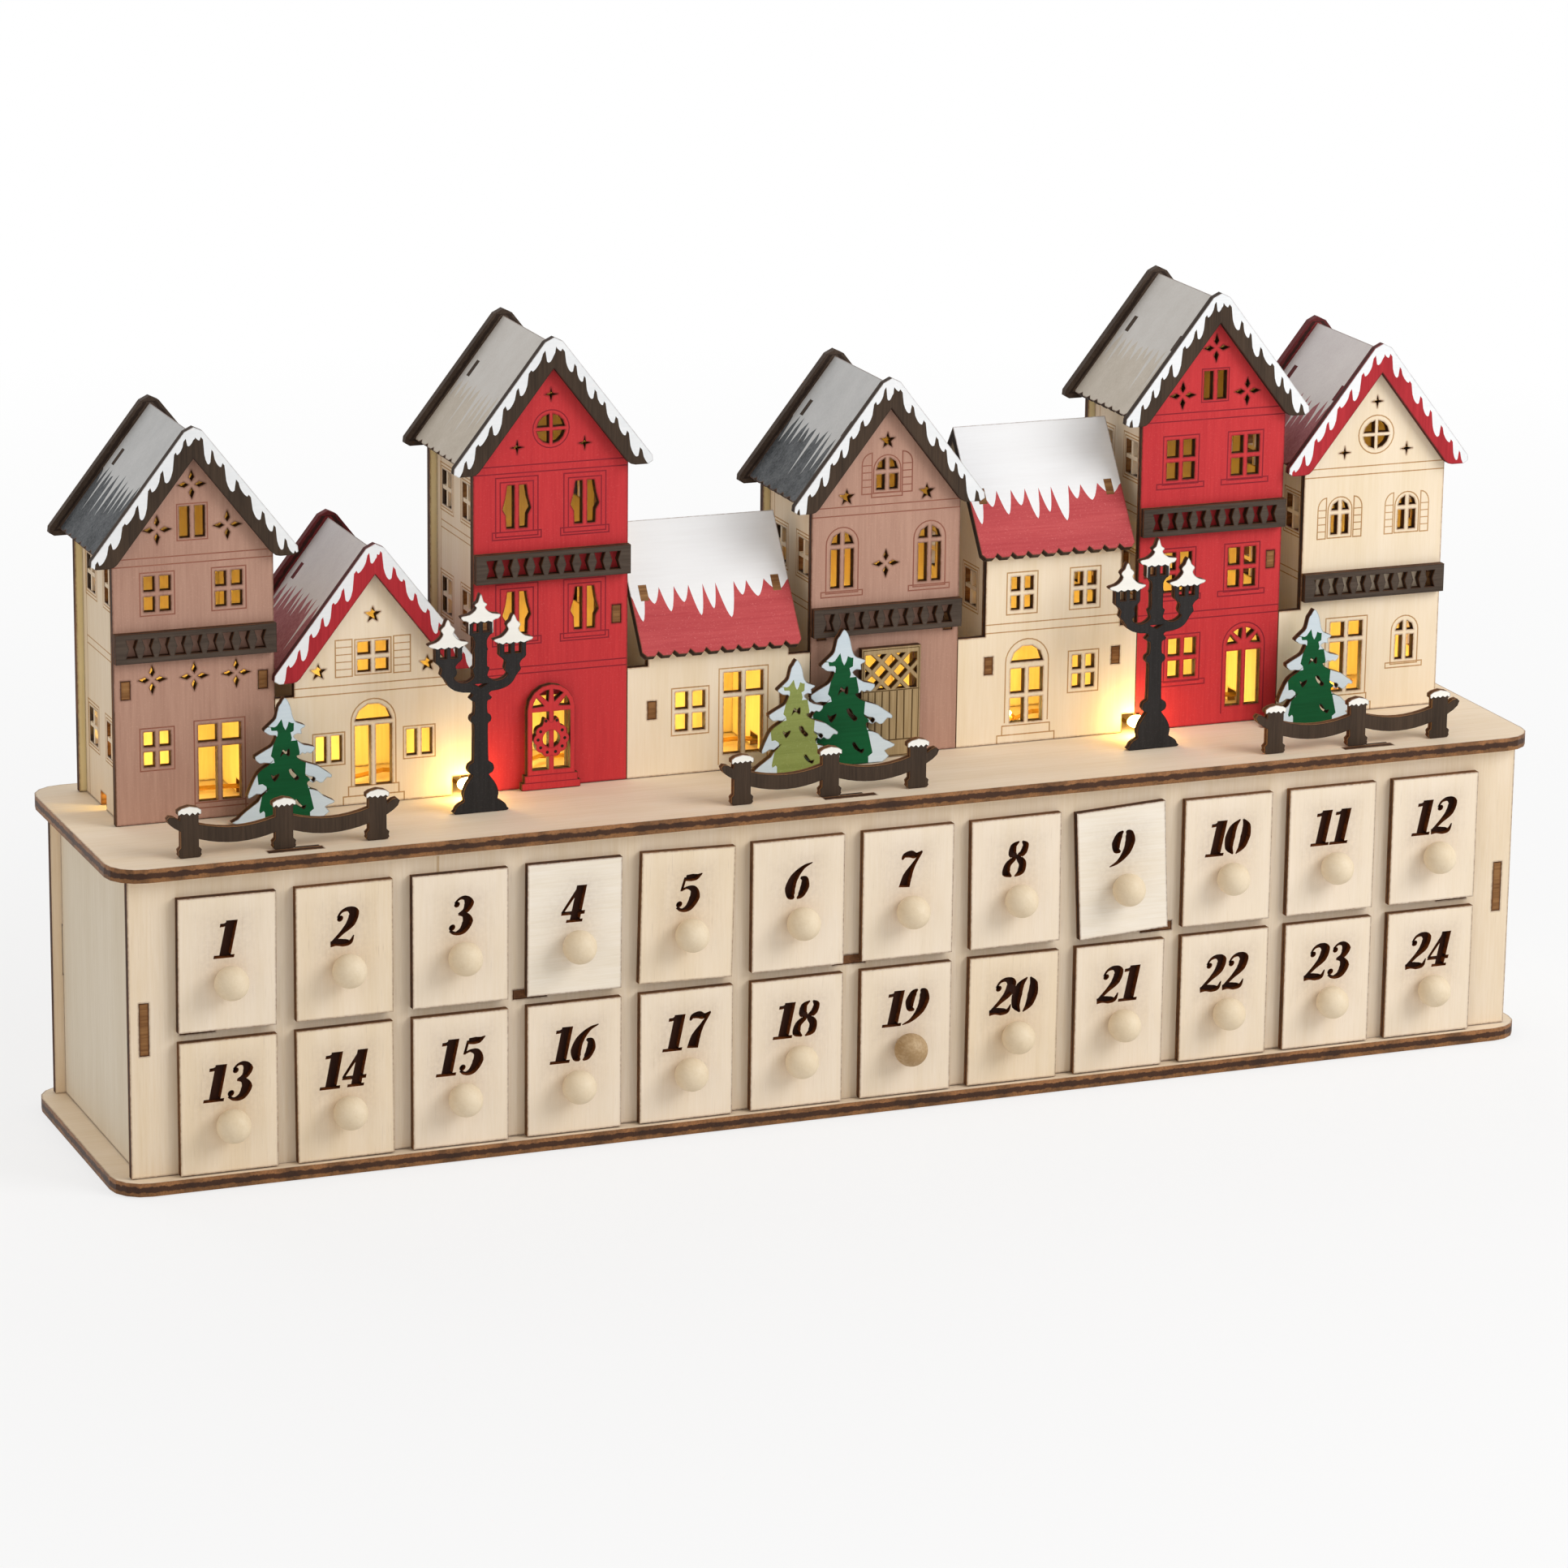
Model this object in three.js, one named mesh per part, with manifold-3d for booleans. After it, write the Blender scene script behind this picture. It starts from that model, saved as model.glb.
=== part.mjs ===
// LED advent calendar: a plywood box of 24 numbered drawers that carries a street of eight lit houses.
// Millimetres, +Z up, +X to the right seen from the front, front towards -Y.
// The origin is the middle of the base plate's underside.
import * as THREE from "three";
import { mergeVertices } from "three/addons/utils/BufferGeometryUtils.js";
import Module from "manifold-3d";

const wasm = await Module();
wasm.setup();

// Stock and clearances
const sheet = 2.5; // plywood of panels, walls, roofs, drawer fronts and scenery
const plate = 4; // plywood of the base plate and the top plate
const fit = 0.2; // gap round a tab, and between two sheets that are glued together
const running = 0.4; // gap all round a drawer tray
const grip = 0.5; // overlap of pieces that form one body

// Box
const frontLength = 440;
const boxDepth = 85;
const panelHeight = 89;
const plateOverhang = 4.5;
const plateEndOverhang = 5;
const plateCorner = 10;
const sideInset = 3.1; // from a panel's end to the side panel's outer face
const sideTab = 15.3; // height of the tab that locks a side panel into the front
const plateTab = 16; // length of a panel's tab through the plates
const plateTabFromEnd = 50; // from a panel's end to the middle of its outer tab

// Drawers
const columns = 12;
const rows = 2;
const columnMargin = 10.84; // from a panel's end to the first column
const frontSpacing = 5.86; // between two drawer fronts
const rowPitch = 42.6;
const drawerFront = { height: 39.7, aboveBase: 0.4, gap: 0.3 };
const tray = { inset: 2.2, height: 35, depth: 57, wall: 2, aboveFront: 1.9 };
const knob = { radius: 5, sunk: 0.5, belowMiddle: 4.9, segments: 8, rings: 4 };
const shelfTab = 10;
const shelfTabFromEnd = 20;
const shelfTabCount = 5;

// Houses: all stand on the top plate, between one front and one rear sheet
const streetMargins = [8.3, 7.2]; // from the panels' ends to the first house and from the last
const gableShare = 47.8; // the street's length is shared out in these proportions
const eavesShare = 44.6;
const shoulderHeight = 34; // low link of the sheets between two houses
const shoulders = [5.9, 6.8, 6.6, 7, 9, 5.8, 7.4];
const facadeFront = -2.5; // front face of the front sheet
const houseDepth = 37; // clear space between the two sheets
const wallInset = 2.2; // from a gable front's edge to the wall's outer face
const pitch = THREE.MathUtils.degToRad(52);
const eavesPitch = THREE.MathUtils.degToRad(55);
const apexLow = 80.5; // heights of the verge boards' sharp apex above the top plate
const apexMiddle = 118.5;
const apexTall = 137.5;
const ridgeOneStorey = 73.3; // heights of the two cross roofs' ridges above the top plate
const ridgeTwoStorey = 94.6;
const vergeBoard = { width: 6.9, reveal: 2.6, overhang: 8.6, apexRadius: 3.5, tipRadius: 1.6, heelRadius: 3 };
const gableSlope = { aboveTip: 7.8, scallops: 8, depth: 1.1 };
const eavesSlope = { length: 43.4, scallops: 10, depth: 1.7, overhang: 2.9 };
const wallTab = 5.2; // height of the tabs that lock a wall into the front sheet
const mouseHole = { width: 6, height: 4.5 }; // lets the light string pass a wall
const bar = 1.5; // glazing bar
const sideWindow = { width: 8.2, height: 10.4 };

// Ornaments in the fronts
const diamondCross = { inner: 0.9, outer: 4.3, widest: 2.2, half: 0.8 };
const starFive = { outer: 2.5, inner: 1.05 };
const starFour = { outer: 2, inner: 0.55 };
const roundWindow = { radius: 4.4, bar: 1.1 };
const balcony = { height: 8.7, gaps: 9, gapWidth: 3.5, waist: 1.8, gapHeight: 5.4 };
const wreathDoor = { fromMiddle: -0.7, width: 14.8, height: 31.9, wreath: 3.9, band: 1.9, step: 2.3, stepOut: 1.7 };
const stableDoor = { fromMiddle: 1.2, width: 19.1, height: 34.2, stile: 1.2, head: 2, windowBase: 21.2, lath: 1.2, lathPitch: 6.2 };

// Scenery
// Each piece stands before a house, given by its name and the distance right of its middle line.
const fence = { postPitch: 27.8, post: 5.2, height: 15, rail: 4.4, railTop: 9.4, sag: 1.6, front: -40, at: [["house_1", 15], ["house_4", 21.1], ["house_7", 33.3]] };
const lamp = { front: -22.5, height: 65.6, at: [["house_2", 26.2], ["house_6", 25.2]] };
const trees = [
  { name: "tree_left", at: ["house_1", 24], front: -12, height: 36.8, colour: 0x1c5a34 },
  { name: "tree_light_green", at: ["house_4", 20.4], front: -14, height: 35.3, colour: 0x8f9a4e },
  { name: "tree_middle", at: ["house_5", -16.1], front: -9.8, height: 42.2, colour: 0x15522f },
  { name: "tree_right", at: ["house_8", -23.7], front: -12, height: 36.4, colour: 0x1c5a34 },
];

// Light string and battery holder
const wire = { diameter: 1.4, height: 2.4, sway: 5, sides: 4, stepsPerHouse: 4 };
const bulb = { radius: 2, fromMiddle: 8 };
const footLight = { at: [["house_2", 27.1], ["house_6", 26.7]], front: -7, height: 4.6 };
const cell = { length: 58, height: 31, depth: 16 }; // room for two AA cells side by side
const holder = { wall: 1.5, flange: 2, rail: 2.6, aboveShelf: 6 };
const lid = { thickness: 1.6, tongue: 0.9 };
const slider = { width: 4, height: 3, pocket: 8, stand: 1.2, pocketDepth: 1.2, beside: 6 };
const leadBeside = 4.7; // from the fourth house's middle line to the lead

// Places that follow from the sizes above
const topPlateUnder = plate + panelHeight;
const ground = topPlateUnder + plate; // the street's level
const boxFront = -boxDepth / 2;
const boxBack = boxDepth / 2;
const baseLength = frontLength + 2 * plateEndOverhang;
const baseDepth = boxDepth + 2 * plateOverhang;
const panelLow = plate + fit;
const panelHigh = topPlateUnder - fit;
const facadeBack = facadeFront + sheet;
const rearFront = facadeBack + houseDepth;
const rearBack = rearFront + sheet;
const houseMiddle = (facadeFront + rearBack) / 2;
const columnPitch = (frontLength - 2 * columnMargin) / columns;
const frontWidth = columnPitch - frontSpacing;
const trayWidth = frontWidth - 2 * tray.inset;
const trayBottom = plate + drawerFront.aboveBase + tray.aboveFront;
const sillLow = trayBottom - running; // the lower row's floor, flush with its openings
const shelfTop = sillLow + rowPitch;
const streetLeft = streetMargins[0] - frontLength / 2;
const streetRight = frontLength / 2 - streetMargins[1];
const shares = 6 * gableShare + 2 * eavesShare + shoulders.reduce((sum, gap) => sum + gap);
const streetScale = (streetRight - streetLeft) / shares;
const gableWidth = gableShare * streetScale;
const eavesWidth = eavesShare * streetScale;
const boardHalf = gableWidth / 2 + vergeBoard.overhang; // from a gable's middle line to its verge boards' tips
const gableLength = boardHalf / Math.cos(pitch) - gableSlope.aboveTip;
const eavesRoofWidth = eavesWidth + 2 * eavesSlope.overhang;
const colours = {
  ply: 0xe6d6b4, red: 0xb4323c, brown: 0x4a3f35, slate: 0x8b8c8c, stone: 0xb9b5aa, wine: 0x8e2f36,
  black: 0x2b2927, plastic: 0xf0eee8, copper: 0xc9a25a, door: 0xa8946a,
};

// Bodies: three.js geometry in, and back out for a mesh
function solid(geometry) {
  const bare = geometry.clone();
  bare.deleteAttribute("normal");
  bare.deleteAttribute("uv");
  const merged = mergeVertices(bare, 1e-4);
  return new wasm.Manifold(
    new wasm.Mesh({
      numProp: 3,
      vertProperties: merged.attributes.position.array,
      triVerts: new Uint32Array(merged.index.array),
    }),
  );
}

const joined = (bodies) => bodies.reduce((sum, body) => sum.add(body));

function box(x0, x1, y0, y1, z0, z1) {
  const geometry = new THREE.BoxGeometry(x1 - x0, y1 - y0, z1 - z0);
  return solid(geometry.translate((x0 + x1) / 2, (y0 + y1) / 2, (z0 + z1) / 2));
}

function geometryOf(body) {
  const { vertProperties, triVerts } = body.getMesh();
  const geometry = new THREE.BufferGeometry();
  geometry.setAttribute("position", new THREE.BufferAttribute(vertProperties, 3));
  geometry.setIndex(new THREE.BufferAttribute(triVerts, 1));
  return geometry;
}

function named(name, body, colour, roughness = 0.75, metalness = 0) {
  const geometry = geometryOf(body);
  geometry.computeVertexNormals();
  const mesh = new THREE.Mesh(geometry, new THREE.MeshStandardMaterial({ color: colour, roughness, metalness }));
  mesh.name = name;
  return mesh;
}

// Prisms: an outline of [a, b] points, extruded through a sheet.
// A placer turns outline coordinates into the part's: flat lies in XY, upright faces the front, sideways faces an end.
const X = new THREE.Vector3(1, 0, 0);
const Y = new THREE.Vector3(0, 1, 0);
const Z = new THREE.Vector3(0, 0, 1);
const placer = (a, b, outward) => (points, from, to) => {
  const shape = new THREE.Shape(points.map(([p, q]) => new THREE.Vector2(p, q)));
  const geometry = new THREE.ExtrudeGeometry(shape, { depth: to - from, bevelEnabled: false });
  const at = outward.clone().multiplyScalar(from);
  return solid(geometry.applyMatrix4(new THREE.Matrix4().makeBasis(a, b, outward).setPosition(at)));
};
const flat = placer(X, Y, Z);
const frontwards = placer(X, Z, Y.clone().negate());
const upright = (points, front, back = front + sheet) => frontwards(points, -back, -front);
const sideways = placer(Y, Z, X);

const pierce = (body, place, holes, from, to) =>
  body.subtract(joined(holes.map((points) => place(points, from - 1, to + 1))));
const uprightCut = (body, holes, front) => pierce(body, upright, holes, front, front + sheet);

// Outlines
const rectangle = (a0, a1, b0, b1) => [[a0, b0], [a1, b0], [a1, b1], [a0, b1]];
const moved = (points, a, b) => points.map(([p, q]) => [p + a, q + b]);
const mirrorOf = (points) => points.map(([a, b]) => [-a, b]).reverse();

// Joins the right half of an outline, listed from the foot up, to its mirror image.
const mirrored = (half) => [...half, ...mirrorOf(half.filter(([a]) => a > 0))];

function arc(a, b, radius, from, to, steps) {
  return Array.from({ length: steps + 1 }, (_, i) => {
    const angle = from + ((to - from) * i) / steps;
    return [a + radius * Math.cos(angle), b + radius * Math.sin(angle)];
  });
}
const circle = (a, b, radius, sides) => arc(a, b, radius, 0, 2 * Math.PI, sides).slice(0, -1);

// Rounds each corner [a, b, radius] of a polygon with an arc that touches both edges.
function rounded(corners, steps = 2) {
  const n = corners.length;
  return corners.flatMap(([a, b, radius = 0], i) => {
    if (!radius) return [[a, b]];
    const here = new THREE.Vector2(a, b);
    const before = new THREE.Vector2(...corners[(i + n - 1) % n]).sub(here).normalize();
    const after = new THREE.Vector2(...corners[(i + 1) % n]).sub(here).normalize();
    const half = before.angleTo(after) / 2;
    const centre = before.clone().add(after).setLength(radius / Math.sin(half)).add(here);
    const start = before.multiplyScalar(radius / Math.tan(half)).add(here).sub(centre);
    const end = after.multiplyScalar(radius / Math.tan(half)).add(here).sub(centre);
    const turn = Math.atan2(start.x * end.y - start.y * end.x, start.dot(end));
    return arc(centre.x, centre.y, radius, start.angle(), start.angle() + turn, steps);
  });
}

// Openings in the fronts: each function gives a list of holes, placed by middle and lower edge.
function panes(x, bottom, width, height, across, up) {
  const paneWidth = (width - (across - 1) * bar) / across;
  const paneHeight = (height - (up - 1) * bar) / up;
  return Array.from({ length: across * up }, (_, i) => {
    const left = x - width / 2 + (i % across) * (paneWidth + bar);
    const low = bottom + Math.floor(i / across) * (paneHeight + bar);
    return rectangle(left, left + paneWidth, low, low + paneHeight);
  });
}
const fourPane = (x, bottom, width = 8, height = 10.4) => panes(x, bottom, width, height, 2, 2);
const transomDoor = (x, bottom, width, top, transom) => [
  ...panes(x, bottom, width, transom - bottom, 2, 1),
  ...panes(x, transom + bar, width, top - transom - bar, 2, 1),
];

// Two quarter panes under a half-round head, over two square panes.
function archedPanes(x, bottom, width, height) {
  const radius = width / 2;
  const spring = bottom + height - radius;
  const quarter = [[bar / 2, spring], ...arc(0, spring, radius, 0, Math.acos(bar / 2 / radius), 2)];
  return [...panes(x, bottom, width, height - radius - bar, 2, 1), moved(quarter, x, 0), moved(mirrorOf(quarter), x, 0)];
}

// A one-piece fanlight over a door with square panes.
function archedDoor(x, bottom, width, top, spring, up) {
  const rise = top - spring;
  const radius = (rise * rise + (width / 2) ** 2) / (2 * rise);
  const half = Math.asin(width / 2 / radius);
  const head = arc(x, top - radius, radius, Math.PI / 2 - half, Math.PI / 2 + half, 5);
  return [head, ...panes(x, bottom, width, spring - bar - bottom, 2, up)];
}

// A fan of four lights round the middle of a half circle.
function fan(x, spring, radius) {
  const bars = 0.11; // half the angle that a bar takes
  return [0, 1, 2, 3].map((i) => {
    const [from, to] = [(i * Math.PI) / 4 + bars, ((i + 1) * Math.PI) / 4 - bars];
    const middle = (from + to) / 2;
    return [[x + 1.6 * bar * Math.cos(middle), spring + 1.6 * bar * Math.sin(middle)], ...arc(x, spring, radius, from, to, 2)];
  });
}

function kite(x, z, angle) {
  const { inner, outer, widest, half } = diamondCross;
  return [[inner, 0], [widest, -half], [outer, 0], [widest, half]].map(([a, b]) => [
    x + a * Math.cos(angle) - b * Math.sin(angle),
    z + a * Math.sin(angle) + b * Math.cos(angle),
  ]);
}
const cross = (x, z) => [0, 1, 2, 3].map((i) => kite(x, z, (i * Math.PI) / 2));
const star = (x, z, points, { outer, inner }) => [
  Array.from({ length: 2 * points }, (_, i) => {
    const angle = Math.PI / 2 + (i * Math.PI) / points;
    const reach = i % 2 ? inner : outer;
    return [x + reach * Math.cos(angle), z + reach * Math.sin(angle)];
  }),
];
const fiveStar = (x, z) => star(x, z, 5, starFive);
const fourStar = (x, z) => star(x, z, 4, starFour);
const threeOf = (make, high, low, spread) => [...make(0, high), ...make(-spread, low), ...make(spread, low)];

function quarteredCircle(x, z) {
  const start = Math.asin(roundWindow.bar / 2 / roundWindow.radius);
  const reach = roundWindow.bar / Math.SQRT2; // from the middle to a pane's inner corner
  return [0, 1, 2, 3].map((i) => {
    const turn = (i * Math.PI) / 2;
    const corner = [x + reach * Math.cos(turn + Math.PI / 4), z + reach * Math.sin(turn + Math.PI / 4)];
    return [corner, ...arc(x, z, roundWindow.radius, turn + start, turn + Math.PI / 2 - start, 3)];
  });
}

// Two panes whose outer edges follow gathered curtains.
function curtainWindow(x, bottom) {
  const height = 12.8;
  const edge = [[3.2, 0], [3.35, 0.3], [4.4, 0.45], [3.5, 0.7], [2.9, 1]];
  const right = [[bar / 2, bottom], ...edge.map(([a, share]) => [a, bottom + share * height]), [bar / 2, bottom + height]];
  return [moved(right, x, 0), moved(mirrorOf(right), x, 0)];
}

// Hole behind a door that is a piece of its own.
const doorway = (x, width, top) => [rectangle(x - width / 2, x + width / 2, 5.5, top)];

// The eight houses from left to right. Openings are given from the house's middle line and from the street.
const houses = [
  {
    apex: apexMiddle, tab: 37.6, colour: colours.slate, sideRows: [17, 62.8], balconyBase: 48.6,
    openings: [
      ...threeOf(cross, 99.1, 86.6, 10.4), ...threeOf(cross, 42.8, 42.8, 12.5),
      ...panes(0, 83.7, 7.6, 9.2, 2, 1), ...fourPane(-10.6, 62.8), ...fourPane(10.6, 62.8),
      ...fourPane(-11.3, 17), ...transomDoor(7.3, 5.4, 12.8, 28.2, 21.5),
    ],
  },
  {
    apex: apexLow, colour: colours.wine, sideRows: [17],
    openings: [
      ...threeOf(fiveStar, 56.7, 40.8, 16.6), ...fourPane(0, 39.8, 9.4, 9),
      ...archedDoor(0, 5.6, 11.3, 30.2, 25.2, 1), ...panes(-13.6, 13.5, 7.9, 7.9, 2, 1), ...panes(14, 13.5, 7.9, 7.9, 2, 1),
    ],
  },
  {
    apex: apexTall, tab: 48.3, colour: colours.stone, sideRows: [17, 47.4, 79.8], balconyBase: 63.4,
    openings: [
      ...threeOf(fourStar, 118, 102.9, 10.4), ...quarteredCircle(0, 107.8),
      ...curtainWindow(-10.5, 79), ...curtainWindow(10.5, 79), ...curtainWindow(-10.5, 47.2), ...curtainWindow(10.5, 47.2),
      ...doorway(wreathDoor.fromMiddle, 11.6, 28),
    ],
  },
  {
    ridge: ridgeOneStorey, tab: 17.9, colour: colours.red, sideRows: [15.5],
    openings: [...fourPane(-8.9, 13.3, 9.4, 12), ...transomDoor(8, 5, 12.6, 30, 22.3)],
  },
  {
    apex: apexMiddle, tab: 37.6, colour: colours.slate, sideRows: [17, 55.4], balconyBase: 38.8,
    openings: [
      ...threeOf(fiveStar, 96.9, 80.5, 12.9), ...cross(0, 59.5), ...archedPanes(0, 82.1, 6.9, 9.6),
      ...archedPanes(-14.1, 53, 7.3, 17), ...archedPanes(14.1, 53, 7.3, 17),
      ...doorway(stableDoor.fromMiddle, stableDoor.width - 3, stableDoor.height - 2.2),
    ],
  },
  {
    ridge: ridgeTwoStorey, tab: 22.3, colour: colours.red, sideRows: [15.5, 41.7],
    openings: [
      ...fourPane(-10.4, 41.7, 7.3, 10.2), ...fourPane(10.4, 41.7, 7.3, 10.2), ...fourPane(10.4, 15.7, 7.3, 10.2),
      ...archedDoor(-8.3, 6.5, 10.7, 30.4, 24.8, 2),
    ],
  },
  {
    apex: apexTall, tab: 48.3, colour: colours.stone, sideRows: [17, 43, 78], balconyBase: 61.4,
    openings: [
      ...threeOf(cross, 118, 104, 10.8), ...panes(0, 102.2, 7.6, 8.8, 2, 1),
      ...fourPane(-10.8, 78, 9.3, 12.4), ...fourPane(10.8, 78, 9.3, 12.4),
      ...fourPane(-10.8, 43, 9.3, 12.4), ...fourPane(10.8, 43, 9.3, 12.4),
      ...fourPane(-8.6, 16, 9.3, 12.3), ...fan(12.3, 24.3, 5.7), ...panes(12.3, 5.5, 11.4, 17.3, 2, 1),
    ],
  },
  {
    apex: apexMiddle, tab: 37.6, colour: colours.wine, sideRows: [17, 57], balconyBase: 36.8,
    openings: [
      ...threeOf(fourStar, 97.8, 82.4, 10.6), ...quarteredCircle(0, 87.5),
      ...archedPanes(-11.5, 57, 6, 10.6), ...archedPanes(11.5, 57, 6, 10.6),
      ...transomDoor(-7.8, 6.8, 11, 29, 22.6), ...archedPanes(12.4, 15.5, 6.2, 12.3),
    ],
  },
];
houses.reduce((left, house, i) => {
  house.name = "house_" + (i + 1);
  house.width = house.apex ? gableWidth : eavesWidth;
  house.left = left;
  house.middle = left + house.width / 2;
  house.wallOuter = house.width / 2 - (house.apex ? wallInset : 0);
  return left + house.width + (shoulders[i] || 0) * streetScale;
}, streetLeft);
const beside = ([name, right]) => houses.find((house) => house.name === name).middle + right;
const leadX = beside(["house_4", leadBeside]);

// Roofs seen along the ridge. All is offset from the outer edge of the verge board, or from the cross roof's slope.
const steep = (distance, slope) => distance / Math.cos(slope); // vertical measure of a thickness
const gableRidge = (house) => house.apex - steep(vergeBoard.reveal, pitch);
const gableUnder = (house) => gableRidge(house) - steep(sheet, pitch);
const eavesUnder = (house) => house.ridge - steep(sheet, eavesPitch);

// One sheet runs the length of the street: a low band that carries a gable or a low wall top for each house.
function street(front) {
  const bodies = houses.map((house) => {
    const half = house.width / 2;
    if (!house.apex) {
      const run = Math.max(Math.abs(houseMiddle - front), Math.abs(houseMiddle - front - sheet));
      const top = eavesUnder(house) - run * Math.tan(eavesPitch) - steep(fit, eavesPitch);
      return upright(moved(rectangle(-half, half, fit, top), house.middle, 0), front);
    }
    const peak = gableUnder(house) - steep(fit, pitch);
    const foot = peak - half * Math.tan(pitch);
    return upright(moved([[-half, fit], [half, fit], [half, foot], [0, peak], [-half, foot]], house.middle, 0), front);
  });
  return joined([upright(rectangle(streetLeft, streetRight, fit, shoulderHeight), front), ...bodies]);
}

// The front sheet has the windows and doors, the slots for the walls' tabs and two notches for the lights before it.
function streetFront() {
  const openings = houses.flatMap((house) => house.openings.map((hole) => moved(hole, house.middle, 0)));
  const slots = houses.filter((house) => house.tab).flatMap((house) =>
    [-1, 1].map((side) => {
      const x = house.middle + side * (house.wallOuter - sheet / 2);
      return rectangle(x - sheet / 2 - fit, x + sheet / 2 + fit, house.tab - fit, house.tab + wallTab + fit);
    }),
  );
  const notches = footLight.at.map(beside).map((x) => rectangle(x - mouseHole.width / 2, x + mouseHole.width / 2, -1, mouseHole.height + 1.5));
  return uprightCut(street(facadeFront), [...openings, ...slots, ...notches], facadeFront);
}

// A side wall with its windows, its tab into the front sheet and the hole for the light string.
// The ground floor has windows only at the two ends of the street, because its other walls face a neighbour.
function wall(house, x, top) {
  const [front, back] = [facadeBack + fit, rearFront - fit];
  const middle = (front + back) / 2;
  const tabs = house.tab ? [sideways(rectangle(facadeFront, front + grip, house.tab, house.tab + wallTab), x, x + sheet)] : [];
  const leaf = sideways([[front, fit], [back, fit], ...top(back), ...top(front)], x, x + sheet);
  const streetEnd = (x < 0 && house === houses[0]) || (x > 0 && house === houses[7]);
  const windows = house.sideRows.slice(streetEnd ? 0 : 1).flatMap((bottom) =>
    [-1, 1].map((side) => {
      const y = middle + (side * houseDepth) / 4;
      return rectangle(y - sideWindow.width / 2, y + sideWindow.width / 2, bottom, bottom + sideWindow.height);
    }),
  );
  const hole = rectangle(middle - mouseHole.width / 2, middle + mouseHole.width / 2, fit - 1, mouseHole.height);
  return pierce(joined([leaf, ...tabs]), sideways, [hole, ...windows], x, x + sheet);
}

// A roof slope lying flat: the ridge along Y at x = 0, and a scalloped eave.
function slopeSheet(length, { scallops, depth }, from, to) {
  const step = (to - from) / scallops;
  const eave = length - depth;
  const scallop = [[eave - grip, 0], [eave, 0], [length - depth / 6, 0.24 * step], [length - depth / 6, 0.76 * step], [eave, step], [eave - grip, step]];
  const teeth = Array.from({ length: scallops }, (_, i) => flat(moved(scallop, 0, from + i * step), -sheet, 0));
  return joined([flat(rectangle(-2 * sheet, eave, from, to), -sheet, 0), ...teeth]);
}

// Two slopes mitred at the ridge, which passes through a point and runs along Y, or along X for a cross roof.
function slopes(length, size, from, to, slope, ridgePoint, ridgeAlong) {
  const away = ridgeAlong === Y ? X : Y;
  const far = 100;
  return joined(
    [-1, 1].map((side) => {
      const down = away.clone().multiplyScalar(side * Math.cos(slope)).addScaledVector(Z, -Math.sin(slope));
      const along = new THREE.Vector3().crossVectors(Z, away).multiplyScalar(side);
      const outward = new THREE.Vector3().crossVectors(down, along);
      const range = along.dot(ridgeAlong) < 0 ? [-to, -from] : [from, to];
      const geometry = geometryOf(slopeSheet(length, size, ...range));
      geometry.applyMatrix4(new THREE.Matrix4().makeBasis(down, along, outward).setPosition(ridgePoint));
      const beyond = [-far, far, -far, far];
      beyond[(away === X ? 0 : 2) + (side < 0 ? 0 : 1)] = ridgePoint.dot(away);
      return solid(geometry).subtract(box(...beyond, ridgePoint.z - far, ridgePoint.z + far));
    }),
  );
}

// The pointed board that hides a gable roof's end.
function verge(house, front) {
  const { width, apexRadius, tipRadius, heelRadius } = vergeBoard;
  const cut = house.apex - boardHalf * Math.tan(pitch);
  const inner = house.apex - steep(width, pitch);
  const reach = (height) => (height - cut) / Math.tan(pitch);
  const outline = rounded([
    [0, house.apex, apexRadius],
    [-reach(house.apex), cut, tipRadius],
    [-reach(inner), cut, heelRadius],
    [0, inner],
    [reach(inner), cut, heelRadius],
    [reach(house.apex), cut, tipRadius],
  ]);
  return upright(outline, front);
}

// Two side walls, two slopes and, at a gable roof's ends, two verge boards, all glued into one shell.
function shell(house) {
  const walls = (top) => [-house.wallOuter, house.wallOuter - sheet].map((x) => wall(house, x, top));
  if (house.apex) {
    const [front, back] = [facadeFront - fit, rearBack + fit];
    const roof = slopes(gableLength, gableSlope, front - grip, back + grip, pitch, new THREE.Vector3(0, 0, gableRidge(house)), Y);
    const top = gableUnder(house) - (house.wallOuter - sheet) * Math.tan(pitch);
    return joined([roof, verge(house, front - sheet), verge(house, back), ...walls((y) => [[y, top]])]);
  }
  const half = eavesRoofWidth / 2;
  const height = (y) => eavesUnder(house) + grip - Math.abs(y) * Math.tan(eavesPitch);
  const top = (y) => (y > houseMiddle ? [[y, height(y - houseMiddle)], [houseMiddle, height(0)]] : [[y, height(y - houseMiddle)]]);
  return joined([slopes(eavesSlope.length, eavesSlope, -half, half, eavesPitch, new THREE.Vector3(0, houseMiddle, house.ridge), X), ...walls(top)]);
}

// A plank balcony front with waisted gaps between its balusters.
function balconyFront(front) {
  const half = gableWidth / 2;
  const step = (gableWidth - 2 * sheet) / balcony.gaps;
  const margin = (balcony.height - balcony.gapHeight) / 2;
  const wide = balcony.gapWidth / 2;
  const gap = [[-wide, margin], [wide, margin], [balcony.waist / 2, balcony.height / 2], [wide, balcony.height - margin],
    [-wide, balcony.height - margin], [-balcony.waist / 2, balcony.height / 2]];
  const gaps = Array.from({ length: balcony.gaps }, (_, i) => moved(gap, (i - (balcony.gaps - 1) / 2) * step, 0));
  return uprightCut(upright(rectangle(-half, half, 0, balcony.height), front), gaps, front);
}

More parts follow.
